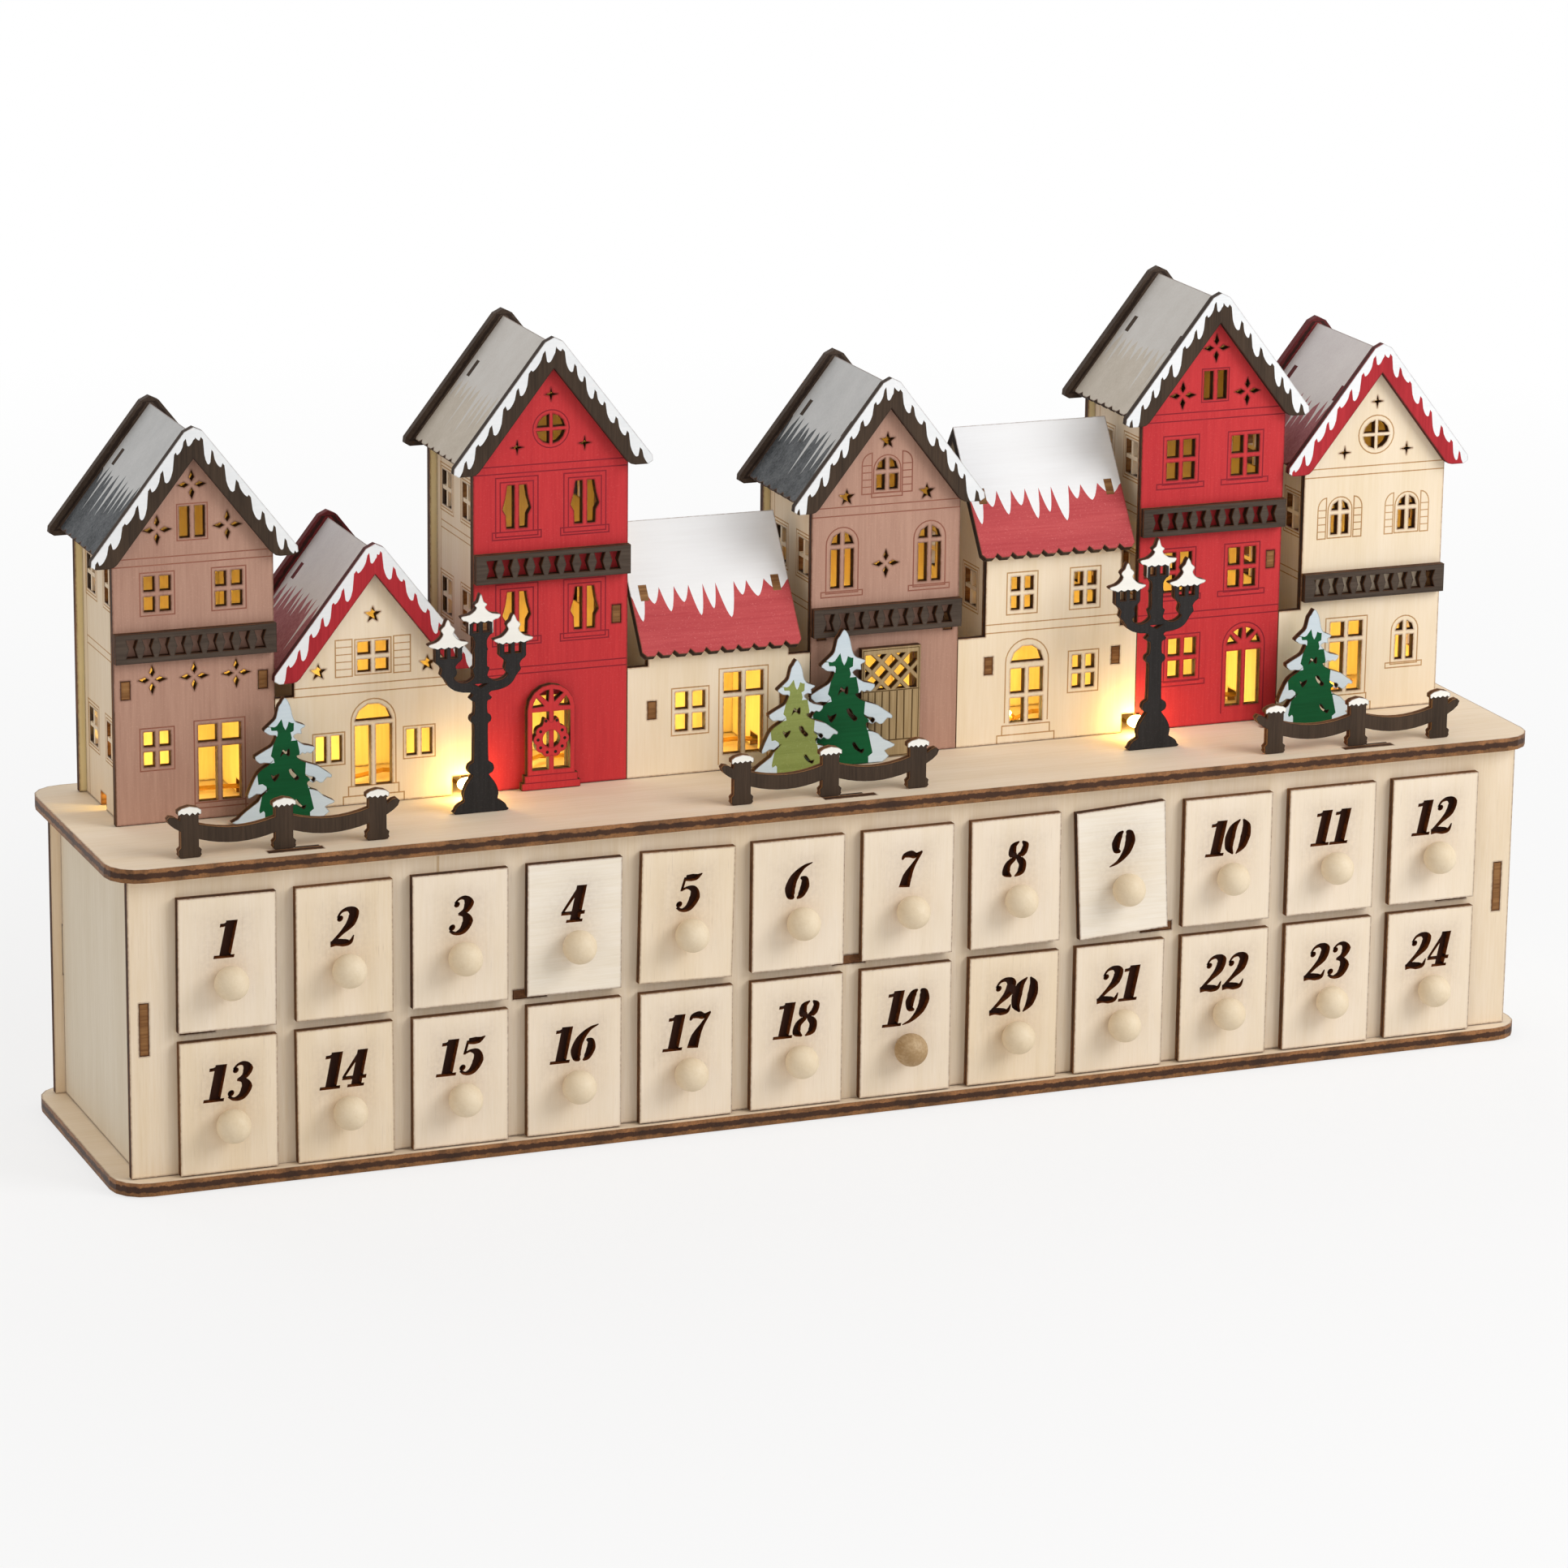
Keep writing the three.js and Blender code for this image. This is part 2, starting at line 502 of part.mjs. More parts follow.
// The raised arched door: a fanlight, a centre bar, a wreath hung on it and two steps.
function wreathDoorBody(front) {
  const { width, height, wreath, band, step, stepOut } = wreathDoor;
  const half = width / 2;
  const inner = half - bar;
  const spring = height - half;
  const leaf = upright([[half, fit], ...arc(0, spring, half, 0, Math.PI, 8), [-half, fit]], front);
  const steps = [1, 0.5].map((share, i) => upright(rectangle(-half - share * stepOut, half + share * stepOut, fit, (i + 1) * step), front));
  const [low, high] = [2 * step + bar, spring - bar / 2];
  const lights = [rectangle(-inner, -bar / 2, low, high), rectangle(bar / 2, inner, low, high)];
  const hang = (low + high) / 2 + 0.8;
  const ring = uprightCut(upright(circle(0, hang, wreath + band / 2, 10), front), [circle(0, hang, wreath - band / 2, 10)], front);
  return uprightCut(joined([leaf, ...steps]), [...fan(0, spring, inner), ...lights], front).add(ring);
}

// The stable door: a trellis light over planks.
function stableDoorBody(front) {
  const { width, height, stile, head, windowBase, lath, lathPitch } = stableDoor;
  const light = rectangle(-width / 2 + stile, width / 2 - stile, windowBase, height - head);
  const leaf = uprightCut(upright(rectangle(-width / 2, width / 2, fit, height), front), [light], front);
  const middle = (windowBase + height - head) / 2;
  const laths = [-1, 1].flatMap((side) =>
    [-1, 0, 1].map((i) => {
      const strip = new THREE.BoxGeometry(width * 2, sheet, lath).rotateY((side * Math.PI) / 4);
      return solid(strip.translate(i * lathPitch, front + sheet / 2, middle));
    }),
  );
  return leaf.add(joined(laths).intersect(upright(rectangle(-width / 2 + grip, width / 2 - grip, windowBase - grip, height - grip), front)));
}

// Right half of a tree from the foot up, as shares of its height, and the middles of the gaps in its needles.
const branches = [[0.25, 0], [0.365, 0.07], [0.24, 0.2], [0.2, 0.285], [0.27, 0.265], [0.355, 0.3], [0.27, 0.4], [0.16, 0.45],
  [0.1, 0.52], [0.16, 0.505], [0.23, 0.545], [0.11, 0.625], [0.065, 0.69], [0.1, 0.675], [0.157, 0.745], [0.07, 0.82], [0.045, 0.94], [0, 1]];
const needleGaps = [[0.01, 0.575], [-0.08, 0.4], [0.08, 0.4], [0.12, 0.16]];

function treeBody({ height, front }) {
  const gap = [[-0.035, 0.015], [0.01, -0.035], [0.03, 0.02]];
  const scaled = (points) => points.map(([a, b]) => [a * height, b * height]);
  return uprightCut(upright(scaled(mirrored(branches)), front), needleGaps.map(([a, b]) => scaled(moved(gap, a, b))), front);
}

// A fence: three capped posts, two sagging rails and a broken rail end at each side.
function fenceBody({ postPitch, post, height, rail, railTop, sag, front }) {
  const half = post / 2;
  const foot = 0.6;
  const steps = 3;
  const pale = [[half + foot, 0], [half + foot, 1.9], [half, 3.1], [half, height - 2], [half + 0.7, height - 1.4], [0.8, height]];
  const posts = [-1, 0, 1].map((i) => upright(moved(mirrored(pale), i * postPitch, 0), front));
  const span = postPitch - post + 2 * grip;
  const edge = (top) => Array.from({ length: steps + 1 }, (_, i) => [(i / steps - 0.5) * span, top - sag * (1 - (2 * i / steps - 1) ** 2)]);
  const rails = [-1, 1].map((side) =>
    upright(moved([...edge(railTop - rail), ...edge(railTop).reverse()], (side * postPitch) / 2, 0), front),
  );
  const end = postPitch + half;
  const stub = [[end - grip, 7.6], [end + 3.6, 10.7], [end + 2.6, 12.3], [end - grip, 10.4]];
  return joined([...posts, ...rails, upright(stub, front), upright(mirrorOf(stub), front)]);
}

// Right half of the three-light street lamp, from the foot up to the middle lantern's tip.
const lampHalf = [[8, 0], [7.4, 3], [5.1, 4.1], [5.3, 7.6], [2.9, 12.2], [4.5, 14.2], [2.6, 15.8], [2.5, 27.4], [3.9, 29.2],
  [2.4, 31], [3.8, 35.6], [8.2, 37.2], [11.6, 39.6], [13, 43.6], [14.8, 46.8], [14.8, 50], [16.3, 51.2], [12, 54.6], [10.6, 58.5],
  [9.2, 54.6], [4.9, 51.2], [6.4, 50], [6.4, 46.8], [8.4, 43.6], [8, 41.2], [3, 41.2], [1.9, 45], [1.9, 52.5], [3.6, 54.4],
  [3.6, 57.6], [5.9, 59.4], [1.4, 61.7], [1.9, 62.8], [0, 65.6]];

const lampDrawn = 65.6; // height that the lamp's outline is given for

function lampBody({ front, height }) {
  const share = height / lampDrawn;
  const scaled = (points) => points.map(([a, b]) => [a * share, b * share]);
  const lantern = (x, z) => [rectangle(x - 2.5, x - 0.7, z, z + 2.6), rectangle(x + 0.7, x + 2.5, z, z + 2.6)];
  const windows = [...lantern(0, 54.6), ...lantern(-10.6, 47.4), ...lantern(10.6, 47.4)];
  return uprightCut(upright(scaled(mirrored(lampHalf)), front), windows.map(scaled), front);
}

// Box: two plates, a front and a back panel tabbed through both, and two side panels tabbed into front and back.
const plateTabs = [-1, 0, 1].map((i) => i * (frontLength / 2 - plateTabFromEnd));
const sideX = frontLength / 2 - sideInset;
const sideTabBase = plate + (panelHeight - sideTab) / 2;
const columnX = (c) => (c - (columns - 1) / 2) * columnPitch;
const shelfTabSpan = frontLength - 2 * shelfTabFromEnd;
const shelfTabs = Array.from({ length: shelfTabCount }, (_, i) => (i / (shelfTabCount - 1) - 0.5) * shelfTabSpan);

function plateBody(z, holes = []) {
  const [a, b] = [baseLength / 2, baseDepth / 2];
  const outline = rounded([[-a, -b, plateCorner], [a, -b, plateCorner], [a, b, plateCorner], [-a, b, plateCorner]], 4);
  const slots = plateTabs.flatMap((x) =>
    [boxFront, boxBack - sheet].map((y) => rectangle(x - plateTab / 2 - fit, x + plateTab / 2 + fit, y - fit, y + sheet + fit)),
  );
  return pierce(flat(outline, z, z + plate), flat, [...slots, ...holes], z, z + plate);
}

function panel(front) {
  const half = frontLength / 2;
  const tabs = plateTabs.map((x) => upright(rectangle(x - plateTab / 2, x + plateTab / 2, fit, ground), front));
  const slots = [-1, 1].map((side) => {
    const x = side * (sideX - sheet / 2);
    return rectangle(x - sheet / 2 - fit, x + sheet / 2 + fit, sideTabBase - fit, sideTabBase + sideTab + fit);
  });
  return uprightCut(joined([upright(rectangle(-half, half, panelLow, panelHigh), front), ...tabs]), slots, front);
}

function boxFrontBody() {
  const half = trayWidth / 2 + running;
  const openings = Array.from({ length: rows * columns }, (_, i) => {
    const x = columnX(i % columns);
    const z = sillLow + Math.floor(i / columns) * rowPitch;
    return rectangle(x - half, x + half, z, z + tray.height + 2 * running);
  });
  const notches = shelfTabs.map((x) =>
    rectangle(x - shelfTab / 2 - fit, x + shelfTab / 2 + fit, shelfTop - sheet - fit, shelfTop + fit),
  );
  return uprightCut(panel(boxFront), [...openings, ...notches], boxFront);
}

function boxSideBody(x) {
  const [front, back] = [boxFront + sheet + fit, boxBack - sheet - fit];
  return box(x, x + sheet, front, back, panelLow, panelHigh).add(
    box(x, x + sheet, boxFront, boxBack, sideTabBase, sideTabBase + sideTab),
  );
}

// Battery holder: a cup through the back board, a flange that seats on it and two grooved rails for the lid.
const bay = {
  x: cell.length / 2,
  low: shelfTop + holder.aboveShelf,
  high: shelfTop + holder.aboveShelf + cell.height,
  front: boxBack - cell.depth,
};
const lidHalf = { x: bay.x + 3, z: cell.height / 2 + 1.5 };
const lidMiddle = (bay.low + bay.high) / 2;
const flangeFace = boxBack + fit + holder.flange;
const switchX = -lidHalf.x - slider.beside - slider.pocket / 2;
const leadY = bay.front + 2 + wire.diameter;

// The drawer rack: back board, shelf, floor and eleven dividers, slotted together and glued.
function rackBody() {
  const front = boxFront + sheet + fit;
  const back = boxBack - sheet + grip;
  const inner = sideX - sheet - fit;
  const shelf = box(-inner, inner, front, back, shelfTop - sheet, shelfTop);
  const floor = box(-inner, inner, front, back, panelLow, sillLow);
  const tabs = shelfTabs.map((x) => box(x - shelfTab / 2, x + shelfTab / 2, boxFront, front + 1, shelfTop - sheet, shelfTop));
  const dividers = Array.from({ length: columns - 1 }, (_, i) => {
    const x = (columnX(i) + columnX(i + 1)) / 2;
    return box(x - sheet / 2, x + sheet / 2, front, back, panelLow, panelHigh);
  });
  const clear = holder.wall + fit;
  const window = box(-bay.x - clear, bay.x + clear, bay.front - clear, boxBack + 1, bay.low - clear, bay.high + clear);
  return joined([panel(boxBack - sheet), shelf, floor, ...tabs, ...dividers]).subtract(window);
}

// Depths of the tongue and groove that hold the lid, from the flange's face outwards.
const tongueFrom = fit + lid.thickness / 3;
const tongueTo = fit + (2 * lid.thickness) / 3;

function holderBody() {
  const w = holder.wall;
  const cup = box(-bay.x - w, bay.x + w, bay.front - w, flangeFace, bay.low - w, bay.high + w);
  const left = switchX - slider.pocket / 2 - 3;
  const edge = lidHalf.z + fit + holder.rail;
  const railTop = flangeFace + lid.thickness + 2 * fit;
  const flange = box(left, lidHalf.x + 2, boxBack + fit, flangeFace, lidMiddle - edge, lidMiddle + edge);
  const cavity = box(-bay.x, bay.x, bay.front, flangeFace + 1, bay.low, bay.high);
  const [rails, grooves] = [[lidHalf.z + fit, edge, -grip, railTop - flangeFace], [lidHalf.z, lidHalf.z + lid.tongue + fit, tongueFrom - fit, tongueTo + fit]].map(
    ([near, far, low, high]) =>
      [-1, 1].map((side) => {
        const [z0, z1] = [lidMiddle + side * near, lidMiddle + side * far].sort((p, q) => p - q);
        return box(-lidHalf.x - 2 * grip, lidHalf.x + 2 * grip, flangeFace + low, flangeFace + high, z0, z1);
      }),
  );
  const stop = box(-lidHalf.x - 2, -lidHalf.x - fit, flangeFace - grip, railTop, lidMiddle - edge, lidMiddle + edge);
  const pocket = box(
    switchX - slider.pocket / 2, switchX + slider.pocket / 2, flangeFace - slider.pocketDepth, flangeFace + 1,
    lidMiddle - slider.height / 2 - fit, lidMiddle + slider.height / 2 + fit,
  );
  const leadHole = box(leadX - wire.diameter, leadX + wire.diameter, leadY - wire.diameter, leadY + wire.diameter, bay.high - 1, bay.high + w + 1);
  return joined([cup, flange, ...rails]).subtract(joined([cavity, pocket, leadHole, ...grooves])).add(stop);
}

function lidBody() {
  const leaf = box(-lidHalf.x, lidHalf.x, flangeFace + fit, flangeFace + fit + lid.thickness, lidMiddle - lidHalf.z, lidMiddle + lidHalf.z);
  const reach = lidHalf.z + lid.tongue;
  const tongue = box(-lidHalf.x, lidHalf.x, flangeFace + tongueFrom, flangeFace + tongueTo, lidMiddle - reach, lidMiddle + reach);
  const outer = flangeFace + fit + lid.thickness;
  const ridge = box(lidHalf.x - 9, lidHalf.x - 7, outer - grip, outer + 0.5, lidMiddle - 6, lidMiddle + 6);
  return joined([leaf, tongue, ridge]);
}

function sliderBody() {
  const left = switchX - slider.pocket / 2 + fit;
  return box(
    left, left + slider.width, flangeFace - slider.pocketDepth + fit, flangeFace + slider.stand,
    lidMiddle - slider.height / 2, lidMiddle + slider.height / 2,
  );
}

// The light string: one wire through all the houses, a lead from the holder and two lights before the front.
const routeThrough = (points) => new THREE.CatmullRomCurve3(points.map((p) => new THREE.Vector3(...p)));

function tube(extrudePath, steps) {
  const section = new THREE.Shape(circle(0, 0, wire.diameter / 2, wire.sides).map(([a, b]) => new THREE.Vector2(a, b)));
  return solid(new THREE.ExtrudeGeometry(section, { steps, extrudePath, bevelEnabled: false }));
}

function lightString() {
  const z = ground + wire.height;
  const middle = (facadeBack + rearFront) / 2;
  const run = houses.flatMap(({ middle: x, wallOuter }) => [
    [x - wallOuter, middle, z], [x - bulb.fromMiddle, middle - wire.sway, z], [x + bulb.fromMiddle, middle + wire.sway, z], [x + wallOuter, middle, z],
  ]);
  const string = routeThrough(run.slice(1, -1));
  const steps = houses.length * wire.stepsPerHouse;
  const joints = string.getSpacedPoints(steps).map((p) => p.toArray());
  const jointAt = (x) => joints.reduce((best, p) => (Math.abs(p[0] - x) < Math.abs(best[0] - x) ? p : best));
  const lead = [[leadX, leadY, bay.high - 4], [leadX, leadY, topPlateUnder], [leadX, leadY, ground], [leadX + 1, leadY - 2, z],
    jointAt(houses[3].middle + bulb.fromMiddle)];
  const feet = footLight.at.map(beside).map((x) => [x, footLight.front, ground + footLight.height]);
  const outlets = feet.map((end) => [jointAt(end[0]), [end[0], facadeBack + 4, z], [end[0], facadeFront, z + 0.4], end]);
  const bulbs = houses.map((house) => jointAt(house.middle - bulb.fromMiddle)).map(([x, y]) => [x, y, z + wire.diameter]);
  const lights = [...bulbs, ...feet].map((at) => solid(new THREE.OctahedronGeometry(bulb.radius, 0).translate(...at)));
  return joined([tube(string, steps), tube(routeThrough(lead), 7), ...outlets.map((points) => tube(routeThrough(points), 4)), ...lights]);
}

// A drawer: front plate, open tray behind it and a ball knob.
function drawerBody() {
  const half = frontWidth / 2;
  const back = boxFront - drawerFront.gap; // the plate closes on the box front
  const face = back - sheet;
  const end = boxFront + tray.depth;
  const w = tray.wall;
  const outer = trayWidth / 2;
  const front = box(-half, half, face, back, -tray.aboveFront, drawerFront.height - tray.aboveFront);
  const body = box(-outer, outer, back - grip, end, 0, tray.height);
  const inside = box(-outer + w, outer - w, back, end - w, w, tray.height + 1);
  const ball = new THREE.SphereGeometry(knob.radius, knob.segments, knob.rings).rotateX(Math.PI / 2);
  ball.translate(0, face - knob.radius + knob.sunk, drawerFront.height / 2 - tray.aboveFront - knob.belowMiddle);
  return joined([front, body.subtract(inside), solid(ball)]);
}

// Assembly
const calendar = new THREE.Group();
const place = (parent, mesh, x = 0, y = 0, z = 0) => {
  mesh.position.set(x, y, z);
  parent.add(mesh);
};
const leadHole = rectangle(leadX - 2, leadX + 2, leadY - 2, leadY + 2);
place(calendar, named("base_plate", plateBody(0), colours.ply));
place(calendar, named("top_plate", plateBody(topPlateUnder, [leadHole]), colours.ply));
place(calendar, named("box_front", boxFrontBody(), colours.ply));
place(calendar, named("rack_and_back", rackBody(), colours.ply));
place(calendar, named("box_side_left", boxSideBody(-sideX), colours.ply));
place(calendar, named("box_side_right", boxSideBody(sideX - sheet), colours.ply));

const drawer = drawerBody();
for (let i = 0; i < rows * columns; i++) {
  const row = rows - 1 - Math.floor(i / columns);
  const name = "drawer_" + String(i + 1).padStart(2, "0");
  place(calendar, named(name, drawer, colours.ply), columnX(i % columns), 0, trayBottom + row * rowPitch);
}

const village = new THREE.Group();
place(calendar, village, 0, 0, ground);
place(village, named("village_front", streetFront(), colours.ply));
place(village, named("village_back", street(rearFront), colours.ply));
const raised = facadeFront - fit - sheet; // front face of the pieces glued on the front sheet
for (const house of houses) {
  place(village, named(house.name + "_shell", shell(house), house.colour), house.middle);
  if (house.balconyBase)
    place(village, named("balcony_" + house.name.slice(-1), balconyFront(raised), colours.brown), house.middle, 0, house.balconyBase);
}
place(village, named("wreath_door", wreathDoorBody(raised), colours.red), houses[2].middle + wreathDoor.fromMiddle);
place(village, named("stable_door", stableDoorBody(raised), colours.door), houses[4].middle + stableDoor.fromMiddle);
["left", "middle", "right"].forEach((side, i) => place(village, named("fence_" + side, fenceBody(fence), colours.brown), beside(fence.at[i]), 0, fit));
["left", "right"].forEach((side, i) => place(village, named("lamp_" + side, lampBody(lamp), colours.black), beside(lamp.at[i]), 0, fit));
trees.forEach((tree) => place(village, named(tree.name, treeBody(tree), tree.colour), beside(tree.at), 0, fit));

place(calendar, named("led_string", lightString(), colours.copper, 0.35, 0.6));
place(calendar, named("battery_case", holderBody(), colours.plastic, 0.45));
place(calendar, named("battery_lid", lidBody(), colours.plastic, 0.45));
place(calendar, named("switch_slider", sliderBody(), colours.black, 0.5));

export default calendar;
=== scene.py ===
import bmesh
import bpy
import numpy as np
from mathutils import Matrix, Vector
from mathutils.geometry import delaunay_2d_cdt


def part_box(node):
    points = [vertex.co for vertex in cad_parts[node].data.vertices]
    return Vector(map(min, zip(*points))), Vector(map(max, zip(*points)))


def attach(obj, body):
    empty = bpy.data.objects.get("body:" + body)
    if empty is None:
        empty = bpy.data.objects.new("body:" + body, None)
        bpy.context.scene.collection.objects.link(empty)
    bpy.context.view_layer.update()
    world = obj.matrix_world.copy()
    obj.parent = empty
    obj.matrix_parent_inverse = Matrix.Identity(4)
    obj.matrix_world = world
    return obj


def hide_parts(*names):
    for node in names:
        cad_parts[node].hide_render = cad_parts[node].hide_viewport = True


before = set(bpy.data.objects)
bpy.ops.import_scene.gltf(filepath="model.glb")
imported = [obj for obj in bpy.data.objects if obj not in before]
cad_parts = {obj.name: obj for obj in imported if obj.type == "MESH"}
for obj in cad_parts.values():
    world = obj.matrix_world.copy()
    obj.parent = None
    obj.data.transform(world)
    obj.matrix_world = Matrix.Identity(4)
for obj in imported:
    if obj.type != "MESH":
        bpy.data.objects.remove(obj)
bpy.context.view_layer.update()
street = 97.0  # level of the top plate's upper face
steep = np.radians(52)  # pitch of the gable roofs

print("stage: camera and light")
photoView = {"azimuth": 21.827, "elevation": 15.567, "roll": 0.699, "distance": 1837.1,
             "focal": 7548.4, "target": (-4.35, 0, 90.24), "frame": 1932}


def linear(text):
    # screen colour as text to the linear colour that a shader takes
    c = np.array([int(text[i:i + 2], 16) for i in (1, 3, 5)]) / 255
    return tuple(np.where(c <= 0.04045, c / 12.92, ((c + 0.055) / 1.055) ** 2.4)) + (1.0,)


def placed(name, data):
    # an object for a mesh, light or camera, in the scene
    made = bpy.data.objects.new(name, data)
    bpy.context.scene.collection.objects.link(made)
    return made


def placeCamera():
    # the camera looks from its distance along the photograph's direction, with its slight roll
    az, el = np.radians(photoView["azimuth"]), np.radians(photoView["elevation"])
    look = Vector((np.sin(az) * np.cos(el), np.cos(az) * np.cos(el), -np.sin(el)))
    camera = bpy.data.cameras.new("photoCamera")
    camera.sensor_width = 36
    camera.lens = 36 * photoView["focal"] / photoView["frame"]
    camera.clip_end = 20
    holder = placed("photoCamera", camera)
    turn = look.to_track_quat("-Z", "Y").to_matrix()
    roll = Matrix.Rotation(np.radians(photoView["roll"]), 3, "Z")
    holder.matrix_world = (turn @ roll).to_4x4()
    holder.location = (Vector(photoView["target"]) - look * photoView["distance"]) / 1000
    bpy.context.scene.camera = holder


placeCamera()


# Shader helpers
def node(tree, kind, sockets=None, **settings):
    made = tree.nodes.new(kind)
    for key, value in settings.items():
        setattr(made, key, value)
    for key, value in (sockets or {}).items():
        if isinstance(value, bpy.types.NodeSocket):
            tree.links.new(value, made.inputs[key])
        else:
            made.inputs[key].default_value = value
    return made


def mixed(tree, share, a, b, mode="MIX"):
    return node(tree, "ShaderNodeMix", {0: share, 6: a, 7: b}, data_type="RGBA", blend_type=mode).outputs[2]


def spread(tree, value, low, high, to0=0.0, to1=1.0):
    return node(tree, "ShaderNodeMapRange", {"Value": value, "From Min": low, "From Max": high,
                                             "To Min": to0, "To Max": to1}).outputs[0]


def sums(tree, kind, a, b=0.5):
    return node(tree, "ShaderNodeMath", {0: a, 1: b}, operation=kind,
                use_clamp=kind == "MULTIPLY").outputs[0]


def noise(tree, vector, scale, detail=3.0, rough=0.55):
    return node(tree, "ShaderNodeTexNoise", {"Vector": vector, "Scale": scale, "Detail": detail,
                                             "Roughness": rough}).outputs[0]


def newMaterial(name):
    made = bpy.data.materials.new(name)
    made.use_nodes = True
    tree = made.node_tree
    tree.nodes.clear()
    shader = node(tree, "ShaderNodeBsdfPrincipled")
    out = node(tree, "ShaderNodeOutputMaterial")
    tree.links.new(shader.outputs[0], out.inputs[0])
    coords = node(tree, "ShaderNodeTexCoord").outputs["Object"]
    return made, tree, shader, coords


def wood(name, light, dark, grain=(1, 1, 0.05), fibre=0.45, band=0.35, speck=0.0, speckTint="#ffffff",
         rough=0.62, bump=0.12, scorch="#6b3d1c", scorchReach=0.8, pores="#8a6a45", pore=0.0, sheen=0.18):
    # stained or bare birch ply: long fibres and broad bands along the grain, with scorched rims
    made, tree, shader, coords = newMaterial(name)
    along = node(tree, "ShaderNodeMapping", {"Vector": coords, "Scale": grain}).outputs[0]
    fine = noise(tree, along, 1500, 4, 0.6)
    broad = noise(tree, along, 160, 3, 0.5)
    cloud = noise(tree, coords, 22, 2, 0.5)
    tone = sums(tree, "ADD", sums(tree, "MULTIPLY", spread(tree, fine, 0.3, 0.72), fibre),
                sums(tree, "MULTIPLY", spread(tree, broad, 0.32, 0.7), band))
    tone = sums(tree, "ADD", tone, spread(tree, cloud, 0.3, 0.7, -0.12, 0.12))
    colour = mixed(tree, spread(tree, tone, 0.05, 0.85), linear(light), linear(dark))
    if pore:
        dots = spread(tree, noise(tree, along, 2600, 2, 0.5), 0.64, 0.74)
        colour = mixed(tree, sums(tree, "MULTIPLY", dots, pore), colour, linear(pores))
    if speck:
        dots = spread(tree, noise(tree, coords, 2100, 2, 0.5), 0.6, 0.7)
        colour = mixed(tree, sums(tree, "MULTIPLY", dots, speck), colour, linear(speckTint))
    burn = node(tree, "ShaderNodeAttribute", attribute_name="burn").outputs["Fac"]
    ragged = spread(tree, noise(tree, coords, 900, 3, 0.6), 0.3, 0.7, 0.55, 1.25)
    heat = sums(tree, "MULTIPLY", sums(tree, "POWER", burn, 1.6),
                sums(tree, "MULTIPLY", ragged, scorchReach))
    colour = mixed(tree, heat, colour, linear(scorch))
    tree.links.new(colour, shader.inputs["Base Color"])
    tree.links.new(spread(tree, fine, 0.2, 0.8, rough - 0.06, rough + 0.1), shader.inputs["Roughness"])
    shader.inputs["Specular IOR Level"].default_value = sheen
    raised = node(tree, "ShaderNodeBump", {"Height": fine, "Strength": bump, "Distance": 0.0002}).outputs[0]
    tree.links.new(raised, shader.inputs["Normal"])
    return made


def cutEdge(name, outer="#6d4526", core="#2c1a10", under="#7d5230", char=0.5, rough=0.75):
    # a laser-cut rim: three plies across the thickness, charred in patches along the cut
    made, tree, shader, coords = newMaterial(name)
    layer = node(tree, "ShaderNodeAttribute", attribute_name="layer").outputs["Fac"]
    wander = spread(tree, noise(tree, coords, 500, 2, 0.5), 0.3, 0.7, -0.07, 0.07)
    across = sums(tree, "ADD", layer, wander)
    plies = node(tree, "ShaderNodeValToRGB", {"Fac": across})
    ramp = plies.color_ramp
    ramp.elements[0].position, ramp.elements[0].color = 0.0, linear(under)
    ramp.elements[1].position, ramp.elements[1].color = 1.0, linear(outer)
    for position, tint in ((0.26, under), (0.34, core), (0.66, core), (0.74, outer)):
        ramp.elements.new(position).color = linear(tint)
    patches = spread(tree, noise(tree, coords, 130, 3, 0.6), 0.42, 0.66)
    grit = spread(tree, noise(tree, coords, 1700, 3, 0.65), 0.35, 0.7)
    colour = mixed(tree, sums(tree, "MULTIPLY", patches, char), plies.outputs[0], linear("#24150c"))
    colour = mixed(tree, sums(tree, "MULTIPLY", grit, 0.45), colour, linear("#2e1b10"))
    tree.links.new(colour, shader.inputs["Base Color"])
    shader.inputs["Roughness"].default_value = rough
    shader.inputs["Specular IOR Level"].default_value = 0.25
    raised = node(tree, "ShaderNodeBump", {"Height": grit, "Strength": 0.3, "Distance": 0.0002}).outputs[0]
    tree.links.new(raised, shader.inputs["Normal"])
    return made


def gloss(name, tint, rough=0.4, metal=0.0, mottle=0.06, light=0.0, lightTint="#ffc64d"):
    # moulded plastic, wire or glass: an even colour with a faint mottle
    made, tree, shader, coords = newMaterial(name)
    cloud = spread(tree, noise(tree, coords, 700, 2, 0.5), 0.3, 0.7, 1 - mottle, 1 + mottle)
    base = linear(tint)
    tone = mixed(tree, 1.0, base,
                 node(tree, "ShaderNodeCombineColor", {0: cloud, 1: cloud, 2: cloud}).outputs[0],
                 "MULTIPLY")
    tree.links.new(tone, shader.inputs["Base Color"])
    shader.inputs["Roughness"].default_value = rough
    shader.inputs["Metallic"].default_value = metal
    if light:
        shader.inputs["Emission Color"].default_value = linear(lightTint)
        shader.inputs["Emission Strength"].default_value = light
    return made


